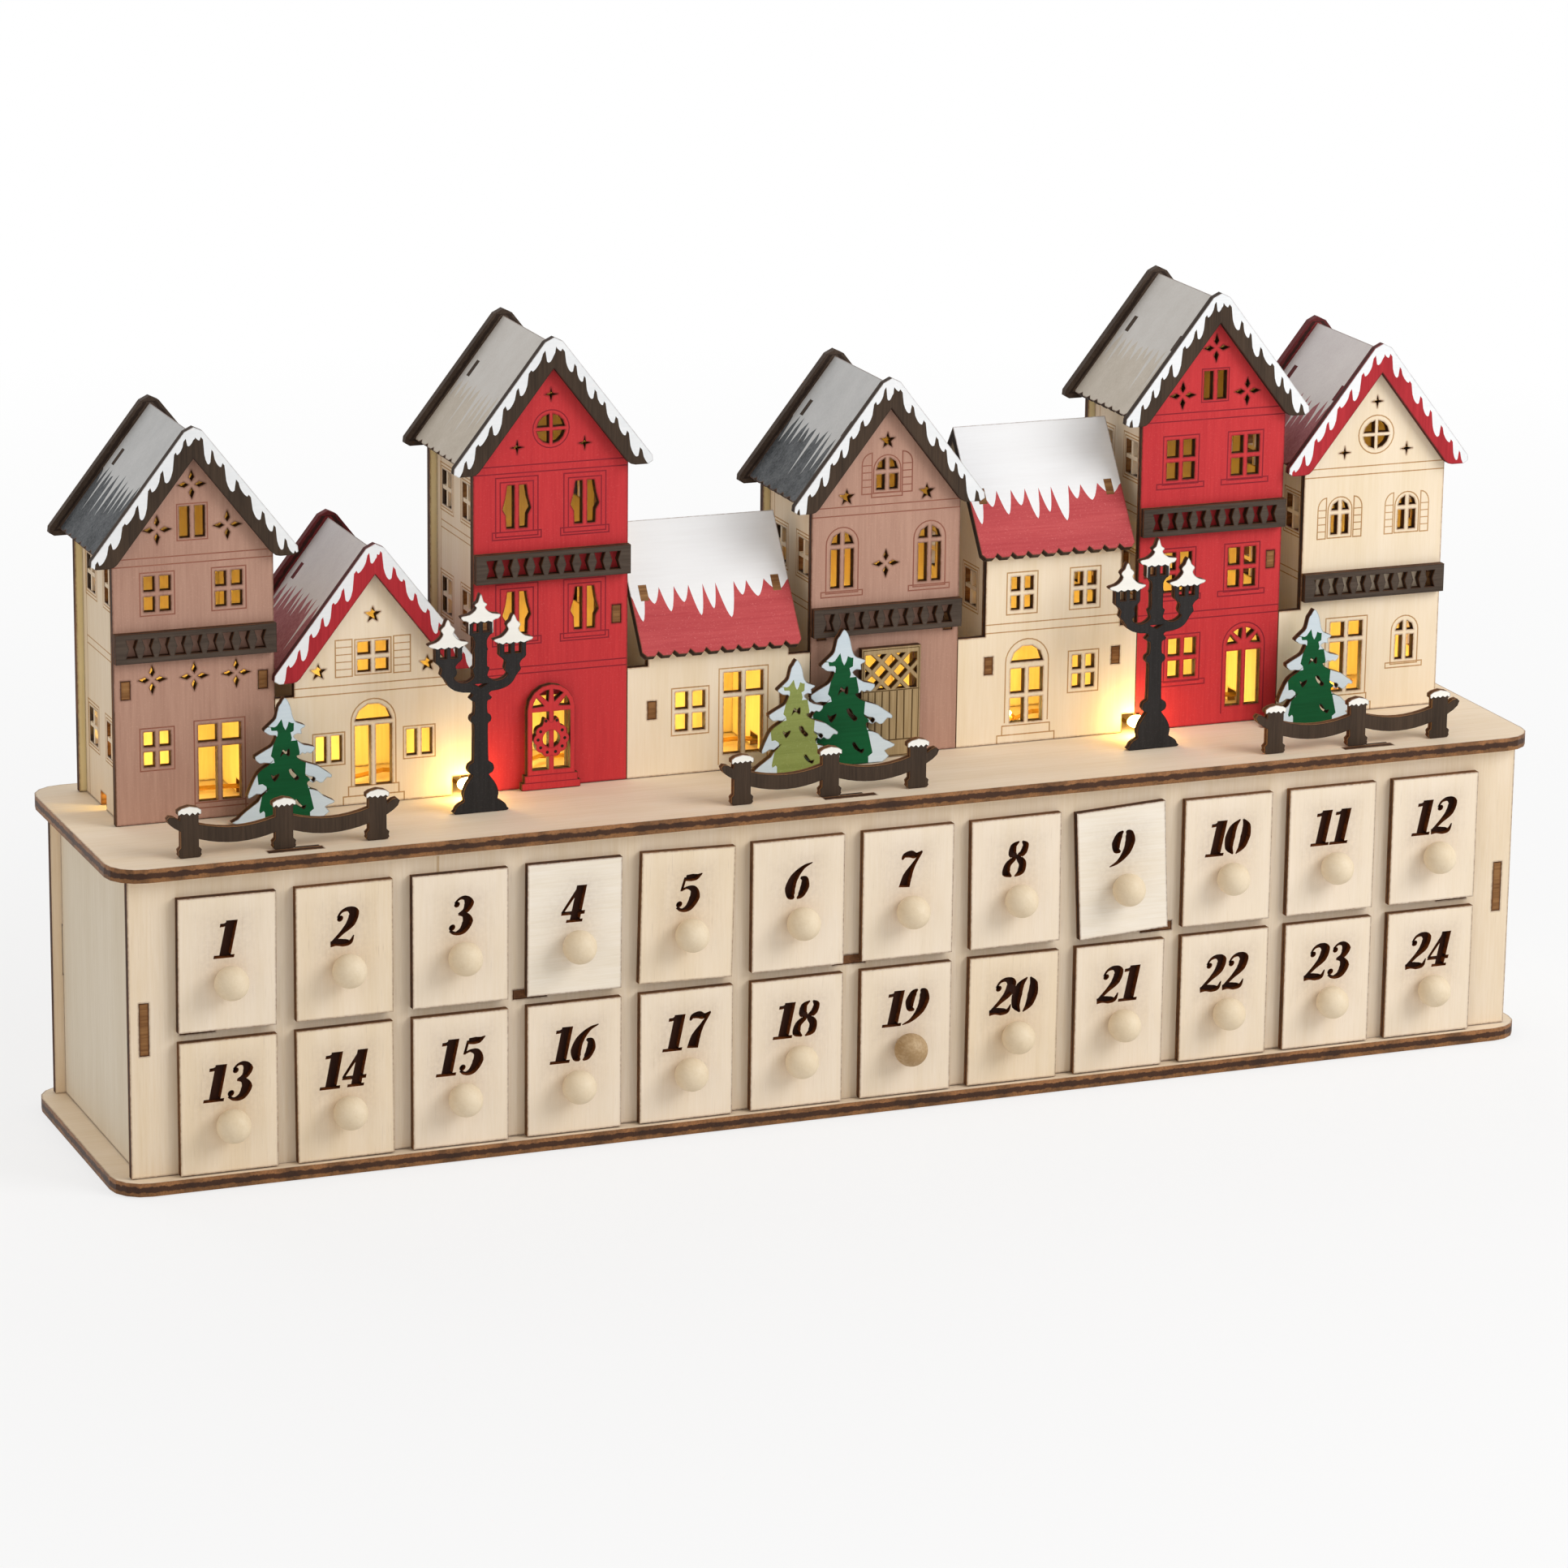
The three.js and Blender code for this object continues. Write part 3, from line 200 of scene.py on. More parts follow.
print("stage: materials")
level = (0.05, 1, 1)  # grain along X
upwards = (1, 1, 0.05)  # grain along Z
deep = (1, 0.05, 1)  # grain along Y
edge = cutEdge("cutEdge")
plateEdge = cutEdge("plateEdge", "#a8754a", "#4a2c18", "#9a6b40", 0.62, 0.5)
boardEdge = cutEdge("boardEdge", "#57483c", "#2a1e16", "#4d3f34", 0.4)
redBoardEdge = cutEdge("redBoardEdge", "#8c2c30", "#3a1512", "#6f2428", 0.45)
paleEdge = cutEdge("paleEdge", "#9a6f45", "#5a371f", "#8c603a", 0.35)
ply = wood("bareBirch", "#f3e2cb", "#e4cdaa", upwards, 0.35, 0.3, pore=0.08)
plyLevel = wood("bareBirchLevel", "#f3e2cb", "#e5cfae", level, 0.35, 0.3, pore=0.05)
plyDeep = wood("bareBirchEnd", "#eee3d0", "#dfd1b8", upwards, 0.35, 0.3, pore=0.08)
# birch tinted yellow as painted lamplight from the bulbs, for the faces inside the houses
litPly = wood("litBirch", "#efe2b6", "#ddc585", upwards, 0.35, 0.3, pore=0.08)
paints = {
    "cream": wood("creamFront", "#f9e8cf", "#ecd6b0", upwards, 0.3, 0.3, scorch="#8a5527"),
    "rose": wood("roseFront", "#bf9784", "#a67d6c", upwards, 0.4, 0.3, 0.25, "#d3ac98", scorch="#5a3222"),
    "red": wood("redFront", "#cf3a3d", "#b72d33", upwards, 0.35, 0.3, 0.3, "#d65656", scorch="#4a1414"),
}
lines = {
    "cream": wood("creamLine", "#cfa674", "#b08452", upwards, 0.6, 0.4),
    "rose": wood("roseLine", "#8a5344", "#9e6b58", upwards, 0.6, 0.4),
    "red": wood("redLine", "#7c1c24", "#962632", upwards, 0.6, 0.4),
}
roofTones = {
    "slate": wood("slateRoof", "#6f7377", "#3a3d40", level, 0.6, 0.45, 0.35, "#2b2d2f"),
    "wine": wood("wineRoof", "#b9757a", "#96545a", level, 0.55, 0.4, 0.2, "#c69498"),
    "stone": wood("stoneRoof", "#d8cfc2", "#c3b8a8", level, 0.35, 0.35, 0.1, "#e8e2d8"),
    "cherry": wood("cherryRoof", "#c95556", "#b03c42", level, 0.4, 0.35, 0.3, "#e28684"),
    "greySnow": wood("greySnow", "#d4d5d6", "#bfc1c2", level, 0.3, 0.3, 0.15, "#a9acae"),
    "mauveSnow": wood("mauveSnow", "#e6e1e0", "#d6cecf", level, 0.3, 0.3, 0.15, "#c0b0b4"),
    "stoneSnow": wood("stoneSnow", "#dedbd7", "#cfcac4", level, 0.3, 0.3, 0.1, "#bdb8b0"),
    "snow": wood("roofSnow", "#f7f7f8", "#eceaea", level, 0.2, 0.2, 0.05, "#d9d9dc"),
}
stains = {
    "brown": wood("brownBoard", "#4b3b2e", "#33281f", upwards, 0.6, 0.4, scorch="#2a1c14"),
    "brownLevel": wood("brownRail", "#574a40", "#3b3129", level, 0.6, 0.4, scorch="#2a1c14"),
    "red": wood("redBoard", "#bd3038", "#9c232b", upwards, 0.5, 0.4, scorch="#3f1512"),
    "door": wood("doorPlank", "#bca47b", "#99805a", upwards, 0.6, 0.4, scorch="#5c3d22"),
    "black": wood("blackLamp", "#2d2a29", "#1b1918", upwards, 0.4, 0.3, 0.3, "#45413f", scorch="#140e0b"),
    "darkGreen": wood("darkGreenTree", "#085a31", "#054321", level, 0.3, 0.35, 0.06, "#1f7550",
                      scorch="#143021"),
    "lightGreen": wood("lightGreenTree", "#98a35c", "#7f8b48", level, 0.4, 0.4, 0.25, "#b5bc82",
                       scorch="#4a4a24"),
}
white = wood("boardSnow", "#f6f8fa", "#e3e8ec", level, 0.25, 0.25, 0.05, "#cfd6da", scorch="#7a6a60",
             scorchReach=0.6)
paleSnow = wood("treeSnow", "#dbe7ee", "#c4d5df", level, 0.3, 0.3, 0.1, "#eef4f7", scorch="#4a4440",
                scorchReach=0.7)
capSnow = wood("capSnow", "#fbf9f2", "#ece9df", level, 0.2, 0.2, 0.05, "#cfdbe4", scorch="#4a3c34",
               scorchReach=0.7)
tabWood = wood("tabEnd", "#a5794a", "#6e4726", level, 0.7, 0.5)
# painted shade for the open slots in the top plate, and the wreath berries' own dark colour
dark = wood("slotShadeAndBerryDark", "#2b1a10", "#1a0f09", level, 0.5, 0.4)


# Flat work: each sheet's faces are cut again round its paint, lines and scorched rims.
def cadMesh(name):
    # a CAD node's loose triangles, welded to a micrometre, in millimetres
    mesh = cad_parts[name].data
    mesh.calc_loop_triangles()
    place = np.empty(len(mesh.vertices) * 3, np.float32)
    mesh.vertices.foreach_get("co", place)
    corner = np.empty(len(mesh.loop_triangles) * 3, np.int32)
    mesh.loop_triangles.foreach_get("vertices", corner)
    points, index = np.unique(np.round(place.reshape(-1, 3).astype(float) * 1000, 3), axis=0,
                              return_inverse=True)
    triangles = index.reshape(-1)[corner].reshape(-1, 3)
    return points, triangles[threeCorners(triangles)]


def cutAt(points, triangles, places):
    # cuts the mesh with planes across X, so that two paints can meet on a clean edge
    work = bmesh.new()
    mesh = bpy.data.meshes.new("cut")
    mesh.from_pydata(points.tolist(), [], triangles.tolist())
    work.from_mesh(mesh)
    for x in places:
        everything = work.verts[:] + work.edges[:] + work.faces[:]
        bmesh.ops.bisect_plane(work, geom=everything, dist=0.002, plane_co=(x, 0, 0), plane_no=(1, 0, 0))
    bmesh.ops.triangulate(work, faces=work.faces[:])
    work.to_mesh(mesh)
    work.free()
    place = np.empty(len(mesh.vertices) * 3, np.float32)
    mesh.vertices.foreach_get("co", place)
    corner = np.empty(len(mesh.polygons) * 3, np.int32)
    mesh.polygons.foreach_get("vertices", corner)
    bpy.data.meshes.remove(mesh)
    return place.reshape(-1, 3).astype(float), corner.reshape(-1, 3)


def inside(spots, starts, ends):
    # even-odd test of many points against a set of closed loops, given by their edges
    result = np.zeros(len(spots), bool)
    step = max(1, 4000000 // max(1, len(starts)))
    slope = (ends[:, 0] - starts[:, 0]) / np.where(ends[:, 1] == starts[:, 1], 1, ends[:, 1] - starts[:, 1])
    for k in range(0, len(spots), step):
        x, y = spots[k:k + step, 0:1], spots[k:k + step, 1:2]
        spans = (starts[:, 1] > y) != (ends[:, 1] > y)
        left = x < starts[:, 0] + slope * (y - starts[:, 1])
        result[k:k + step] = (spans & left).sum(1) % 2 == 1
    return result


def rimDistance(spots, starts, ends):
    # distance of each point from the nearest edge
    result = np.full(len(spots), 1e9)
    along = ends - starts
    square = np.maximum((along ** 2).sum(1), 1e-12)
    step = max(1, 2000000 // max(1, len(starts)))
    for k in range(0, len(spots), step):
        offset = spots[k:k + step, None] - starts
        share = np.clip((offset * along).sum(2) / square, 0, 1)
        result[k:k + step] = np.sqrt(((offset - share[..., None] * along) ** 2).sum(2)).min(1)
    return result


def triangleSides(triangles, count):
    # each triangle's three sides as pairs of points, and
    # whether a neighbour has the same side the other way
    sides = np.vstack([triangles[:, [0, 1]], triangles[:, [1, 2]], triangles[:, [2, 0]]])
    forward = sides[:, 0] * count + sides[:, 1]
    backward = sides[:, 1] * count + sides[:, 0]
    return sides, np.isin(forward, backward)


def threeCorners(triangles):
    # true for each triangle whose corners are three different points
    a, b, c = triangles.T
    return (a != b) & (b != c) & (a != c)


def loopEdges(loops):
    starts = np.vstack([np.asarray(loop, float) for loop in loops])
    ends = np.vstack([np.roll(np.asarray(loop, float), -1, axis=0) for loop in loops])
    return starts, ends


def rimOffset(spots, edges, width):
    # moves each rim point into the sheet by a width, mitred at the corners
    way = spots[edges[:, 1]] - spots[edges[:, 0]]
    way /= np.maximum(np.linalg.norm(way, axis=1, keepdims=True), 1e-9)
    inward = np.stack([-way[:, 1], way[:, 0]], 1)
    total = np.zeros_like(spots)
    count = np.zeros(len(spots))
    np.add.at(total, edges[:, 0], inward)
    np.add.at(total, edges[:, 1], inward)
    np.add.at(count, edges[:, 0], 1)
    np.add.at(count, edges[:, 1], 1)
    square = (total ** 2).sum(1)
    mitre = np.where((square > 0.35)[:, None], 2 * total / np.maximum(square, 0.35)[:, None], 0)
    return spots + width * mitre, (count == 2) & (square > 0.35)


def halo(starts, ends, ring):
    # points a ring's width from the rims, round each corner
    # and along each edge, which stop the scorch there
    turn = np.arange(8) * np.pi / 4 + 0.2
    around = starts[:, None] + ring * np.stack([np.cos(turn), np.sin(turn)], 1)
    along = ends - starts
    length = np.maximum(np.linalg.norm(along, axis=1, keepdims=True), 1e-9)
    beside = ring * np.stack([-along[:, 1], along[:, 0]], 1) / length
    shares = np.linspace(0.1, 0.9, 5)[:, None, None]
    rows = starts + shares * along + beside
    spots = np.vstack([around.reshape(-1, 2), rows.reshape(-1, 2)])
    _, first = np.unique(np.round(spots / (ring * 0.4)), axis=0, return_index=True)
    spots = spots[first]
    spots = spots[rimDistance(spots, starts, ends) > ring * 0.96]
    return spots[inside(spots, starts, ends)]


def recut(spots, edges, overlays, ring, extra=()):
    # one flat region: its rim, the points round it and the overlays' outlines
    # are joined into one net of triangles. Gives the net's points, triangles,
    # each triangle's overlay (-1 for none) and each point's share of scorch.
    starts, ends = spots[edges[:, 0]], spots[edges[:, 1]]
    inner, whole = rimOffset(spots, edges, ring)
    kept = edges[whole[edges[:, 0]] & whole[edges[:, 1]]]
    ringed = halo(starts, ends, ring)
    places = [spots, inner, ringed]
    links = [edges, kept + len(spots)] + [np.asarray(extra, int).reshape(-1, 2)]
    total = 2 * len(spots) + len(ringed)
    low, high = spots.min(0) - 1, spots.max(0) + 1
    outlines = []
    for loops, tone in overlays:
        a, b = loopEdges(loops)
        outlines.append((a, b, tone))
        if (a.max(0) < low).any() or (a.min(0) > high).any():
            continue
        for loop in loops:
            count = len(loop)
            places.append(np.asarray(loop, float))
            ids = np.arange(count) + total
            links.append(np.stack([ids, np.roll(ids, -1)], 1))
            total += count
    net = delaunay_2d_cdt([Vector(p) for p in np.vstack(places).tolist()],
                          np.vstack(links).tolist(), [], 0, 0.0004)
    points = np.array([tuple(v) for v in net[0]])
    triangles = np.array([f for f in net[2] if len(f) == 3], int).reshape(-1, 3)
    corners = points[triangles]
    turn = np.cross(corners[:, 1] - corners[:, 0], corners[:, 2] - corners[:, 0])
    triangles = np.where((turn < 0)[:, None], triangles[:, ::-1], triangles)[np.abs(turn) > 1e-7]
    middles = points[triangles].mean(1)
    triangles = triangles[inside(middles, starts, ends)]
    middles = points[triangles].mean(1)
    tones = np.full(len(triangles), -1)
    for a, b, tone in outlines:
        near = np.flatnonzero(((middles > a.min(0)) & (middles < a.max(0))).all(1))
        if len(near):
            tones[near[inside(middles[near], a, b)]] = tone
    burn = np.clip(1 - rimDistance(points, starts, ends) / ring, 0, 1)
    return points, triangles, tones, burn


def planeAxes(normal):
    up = np.array([0, 1.0, 0]) if abs(normal[2]) > 0.99 else np.array([0, 0, 1.0])
    v = up - normal * up.dot(normal)
    v /= np.linalg.norm(v)
    return np.cross(v, normal), v


def makeMesh(name, points, triangles, slots, toneOf, burn=None, layer=None, body="case", stands=(),
             smooth=False):
    # one object from whole arrays; points are in millimetres
    mesh = bpy.data.meshes.new(name)
    mesh.vertices.add(len(points))
    mesh.vertices.foreach_set("co", (np.asarray(points, float) / 1000).astype(np.float32).ravel())
    mesh.loops.add(len(triangles) * 3)
    mesh.loops.foreach_set("vertex_index", np.asarray(triangles, np.int32).ravel())
    mesh.polygons.add(len(triangles))
    mesh.polygons.foreach_set("loop_start", np.arange(0, len(triangles) * 3, 3, dtype=np.int32))
    mesh.polygons.foreach_set("material_index", np.asarray(toneOf, np.int32))
    for slot in slots:
        mesh.materials.append(slot)
    for title, values in (("burn", burn), ("layer", layer)):
        if values is not None:
            made = mesh.attributes.new(title, "FLOAT", "POINT")
            made.data.foreach_set("value", np.asarray(values, np.float32))
    mesh.update(calc_edges=True)
    mesh.validate()
    mesh.polygons.foreach_set("use_smooth", np.full(len(mesh.polygons), smooth))
    made = placed(name, mesh)
    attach(made, body)
    if stands:
        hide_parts(*stands)
    return made


def weld(points, triangles, burn, layer):
    # joins equal points, so that the recut faces and the cut edges close again
    merged, index = np.unique(np.round(points, 3), axis=0, return_inverse=True)
    index = index.reshape(-1)
    peak = np.zeros(len(merged))
    np.maximum.at(peak, index, burn)
    depth = np.zeros(len(merged))
    np.maximum.at(depth, index, layer)
    return merged, index[triangles], peak, depth


def dressed(name, title, faces, slots, edgeSlot, ring=0.7, minimum=0.0, splits=(), paintOf=None,
            body="case"):
    # Rebuilds a CAD node with paint. Each rule in faces has a test of normal
    # and offset, the slot it gives and, where needed, overlays, a ring and a
    # strength of scorch, a least breadth, and whether it is the outer side.
    points, triangles = cadMesh(name)
    if len(splits):
        points, triangles = cutAt(points, triangles, splits)
    a, b, c = points[triangles[:, 0]], points[triangles[:, 1]], points[triangles[:, 2]]
    cross = np.cross(b - a, c - a)
    area = np.linalg.norm(cross, axis=1) / 2
    normal = cross / np.maximum(2 * area, 1e-9)[:, None]
    offset = (normal * a).sum(1)
    key = np.column_stack([np.round(normal * 50 + 0.21), np.round(offset * 4 + 0.13)])
    _, group = np.unique(key, axis=0, return_inverse=True)
    group = group.reshape(-1)
    newPoints, newTriangles, newTones, burns = [points], [], [], [np.zeros(len(points))]
    layer = np.zeros(len(points))
    total = len(points)
    taken = np.zeros(len(triangles), bool)
    for g in range(group.max() + 1):
        members = np.flatnonzero(group == g)
        biggest = members[area[members].argmax()]
        n, d = normal[biggest], offset[biggest]
        rule = next((r for r in faces if r["test"](n, d)), None)
        if rule is None:
            continue
        part = triangles[members]
        sides, shared = triangleSides(part, len(points))
        rim = sides[~shared]
        length = np.linalg.norm(points[rim[:, 0]] - points[rim[:, 1]], axis=1).sum()
        least = rule.get("minimum", minimum)
        if least and 2 * area[members].sum() / max(length, 1e-6) < least:
            continue
        used, flatRim = np.unique(rim, return_inverse=True)
        flatRim = flatRim.reshape(-1, 2)
        u, v = planeAxes(n)
        spots = np.stack([points[used] @ u, points[used] @ v], 1)
        seam = np.empty((0, 2), int)
        if len(splits):
            inner = sides[shared & (sides[:, 0] < sides[:, 1])]
            onSeam = (np.abs(points[inner[:, 0], 0][:, None] - np.array(splits)).min(1) < 0.01) & (
                np.abs(points[inner[:, 1], 0][:, None] - np.array(splits)).min(1) < 0.01)
            seamEdges = inner[onSeam]
            extraIds, seam = np.unique(seamEdges, return_inverse=True)
            seam = seam.reshape(-1, 2)
            known = {value: k for k, value in enumerate(used.tolist())}
            fresh = [value for value in extraIds.tolist() if value not in known]
            known.update({value: len(used) + k for k, value in enumerate(fresh)})
            if fresh:
                used = np.concatenate([used, fresh])
                spots = np.vstack([spots, np.stack([points[fresh] @ u, points[fresh] @ v], 1)])
            seam = np.array([known[value] for value in extraIds.tolist()],
                            int)[seam] if len(extraIds) else seam
        overlays = rule.get("overlays") or []
        if callable(overlays):
            overlays = overlays(spots, n, d)
        net, tri, tone, burn = recut(spots, flatRim, overlays, rule.get("ring", ring), seam)
        place = net[:, 0:1] * u + net[:, 1:2] * v + n * d
        if paintOf is not None and rule.get("painted"):
            base = paintOf(place[tri].mean(1))
        else:
            base = np.full(len(tri), rule["slot"])
        newPoints.append(place)
        newTriangles.append(tri + total)
        newTones.append(np.where(tone >= 0, tone, base))
        burns.append(burn * rule.get("burn", 1.0))
        total += len(place)
        taken[members] = True
        if rule.get("outer"):
            layer[np.unique(part)] = 1
    newTriangles.append(triangles[~taken])
    newTones.append(np.full((~taken).sum(), edgeSlot))
    layers = np.concatenate([layer, np.zeros(total - len(points))])
    points, triangles, burn, layer = weld(np.vstack(newPoints), np.vstack(newTriangles),
                                          np.concatenate(burns), layers)
    tones = np.concatenate(newTones)
    solid = threeCorners(triangles)
    return makeMesh(title, points, triangles[solid], slots, tones[solid], burn, layer, body, (name,))


def facing(axis, sign, low=-1e9, high=1e9):
    # test for a face whose normal is along an axis and whose place on it is between two values
    def test(n, d):
        return n[axis] * sign > 0.99 and low <= d * sign <= high
    return test


def turnedLeft(loop, left):
    # gives the loop with its inside on the left, or on the right for an opening
    after = np.roll(loop, -1, axis=0)
    area = (loop[:, 0] * after[:, 1] - after[:, 0] * loop[:, 1]).sum()
    return loop if (area > 0) == left else loop[::-1]


def sheetPiece(title, name, loops, front, overlays, slots, edgeSlot, ring=0.35, thick=2.5):
    # an upright sheet cut along its outline: one flat net
    # serves both faces, and a wall stands on each open edge
    loops = [turnedLeft(np.asarray(loop, float), k == 0) for k, loop in enumerate(loops)]
    counts = [len(loop) for loop in loops]
    first = np.concatenate([[0], np.cumsum(counts)[:-1]])
    rim = np.vstack([np.stack([a + np.arange(n), a + (np.arange(n) + 1) % n], 1) for a,
                     n in zip(first, counts)])
    net, triangles, tone, burn = recut(np.vstack(loops), rim, overlays, ring)
    used, flat = np.unique(triangles, return_inverse=True)
    net, burn, triangles = net[used], burn[used], flat.reshape(-1, 3)
    count = len(net)
    sides, shared = triangleSides(triangles, count)
    lip = sides[~shared]
    walls = np.vstack([np.stack([lip[:, 1], lip[:, 0], lip[:, 0] + count], 1),
                       np.stack([lip[:, 1], lip[:, 0] + count, lip[:, 1] + count], 1)])
    points = np.vstack([np.column_stack([net[:, 0], np.full(count, y), net[:, 1]])
                        for y in (front, front + thick)])
    tones = np.concatenate([np.maximum(tone, 0), np.zeros(len(triangles)), np.full(len(walls), edgeSlot)])
    return makeMesh(title, points, np.vstack([triangles, triangles[:, ::-1] + count, walls]), slots, tones,
                    np.tile(burn, 2), np.repeat([1.0, 0.0], count), "case", (name,) if name else ())


def between(a, b, c, d, f):
    # a point on the smooth curve from b to c, at the share f of the way, with a and d as their neighbours
    bend = (2 * a - 5 * b + 4 * c - d) * f ** 2
    return 0.5 * (2 * b + (c - a) * f + bend + (3 * b - a - 3 * c + d) * f ** 3)


def flowing(points, steps=3):
    # a smooth closed curve through the points: each stretch
    # is a cubic that takes its slopes from the neighbours
    p = np.asarray(points, float)
    a, b, c, d = np.roll(p, 1, axis=0), p, np.roll(p, -1, axis=0), np.roll(p, -2, axis=0)
    f = (np.arange(steps) / steps)[None, :, None]
    a, b, c, d = a[:, None], b[:, None], c[:, None], d[:, None]
    return between(a, b, c, d, f).reshape(-1, 2)


# Drawing: outlines for paint and engraved lines, in the plane's own two coordinates.
def box2(x0, x1, z0, z1):
    return np.array([(x0, z0), (x1, z0), (x1, z1), (x0, z1)], float)


def line(path, width=0.4, closed=False):
    # a drawn line as one loop, or two for a closed line: the path moved half a width to each side
    p = np.asarray(path, float)
    before = np.roll(p, 1, axis=0) if closed else np.vstack([2 * p[0] - p[1], p[:-1]])
    after = np.roll(p, -1, axis=0) if closed else np.vstack([p[1:], 2 * p[-1] - p[-2]])
    a = (p - before) / np.maximum(np.linalg.norm(p - before, axis=1, keepdims=True), 1e-9)
    b = (after - p) / np.maximum(np.linalg.norm(after - p, axis=1, keepdims=True), 1e-9)
    na, nb = np.stack([-a[:, 1], a[:, 0]], 1), np.stack([-b[:, 1], b[:, 0]], 1)
    side = (na + nb) / np.maximum(1 + (na * nb).sum(1, keepdims=True), 0.5) * width / 2
    return [p + side, p - side] if closed else [np.vstack([p + side, (p - side)[::-1]])]


def arcPath(x, z, radius, start, end, steps=10):
    t = np.radians(np.linspace(start, end, steps + 1))
    return np.stack([x + radius * np.cos(t), z + radius * np.sin(t)], 1)


def framed(x, low, width, height, out=1.0):
    return [line(box2(x - width / 2 - out, x + width / 2 + out, low - out, low + height + out),
                 closed=True)]


def sill(x, low, width, out=2.2, high=1.7):
    return [line(box2(x - width / 2 - out, x + width / 2 + out, low - high - 1, low - 1), closed=True)]


def archFrame(x, low, width, height, out=1.0):
    # straight sides and a half-round head, one line round the opening
    half = width / 2 + out
    head = arcPath(x, low + height - width / 2, half, 0, 180, 12)
    return [line(np.vstack([[(x + half, low - out)], head, [(x - half, low - out)]]), closed=True)]


def doorFrame(x, width, top, foot=0.0, rise=0.0):
    half = width / 2
    if rise:
        head = arcPath(x, top - half, half, 0, 180, 14)
        return [line(np.vstack([[(x + half, foot)], head, [(x - half, foot)]]))]
    return [line([(x - half, foot), (x - half, top), (x + half, top), (x + half, foot)])]


def steps2(x, wide, foot=0.0, top=5.6):
    # two shallow steps as stacked outlines
    middle = foot + (top - foot) * 0.48
    return [line([(x - wide / 2, foot), (x - wide / 2, middle), (x + wide / 2, middle),
                  (x + wide / 2, foot)]),
            line([(x - wide / 2 + 1.6, middle), (x - wide / 2 + 1.6, top), (x + wide / 2 - 1.6, top),
                  (x + wide / 2 - 1.6, middle)])]


def bandLines(*heights, half=24.2):
    return [line([(-half, z), (half, z)], 0.36) for z in heights]


def shutter(x0, x1, low, high, count=5):
    rows = np.linspace(low, high, count + 1)[1:-1]
    return [line(box2(x0, x1, low, high), closed=True)] + [line([(x0, z), (x1, z)], 0.32) for z in rows]


def archedShutter(x, side, low, high, width=3.2, count=5):
    # a shutter whose top falls away from the window in a quarter round
    inner, outer = x, x + side * width
    t = np.linspace(0, np.pi / 2, 7)
    top = np.stack([inner + (outer - inner) * np.sin(t), high - (high - low) * 0.28 * (1 - np.cos(t))], 1)
    rows = np.linspace(low, high - (high - low) * 0.3, count)[1:]
    return [line(np.vstack([[(inner, low)], top, [(outer, low)]]),
                 closed=True)] + [line([(inner, z), (outer, z)], 0.32) for z in rows]


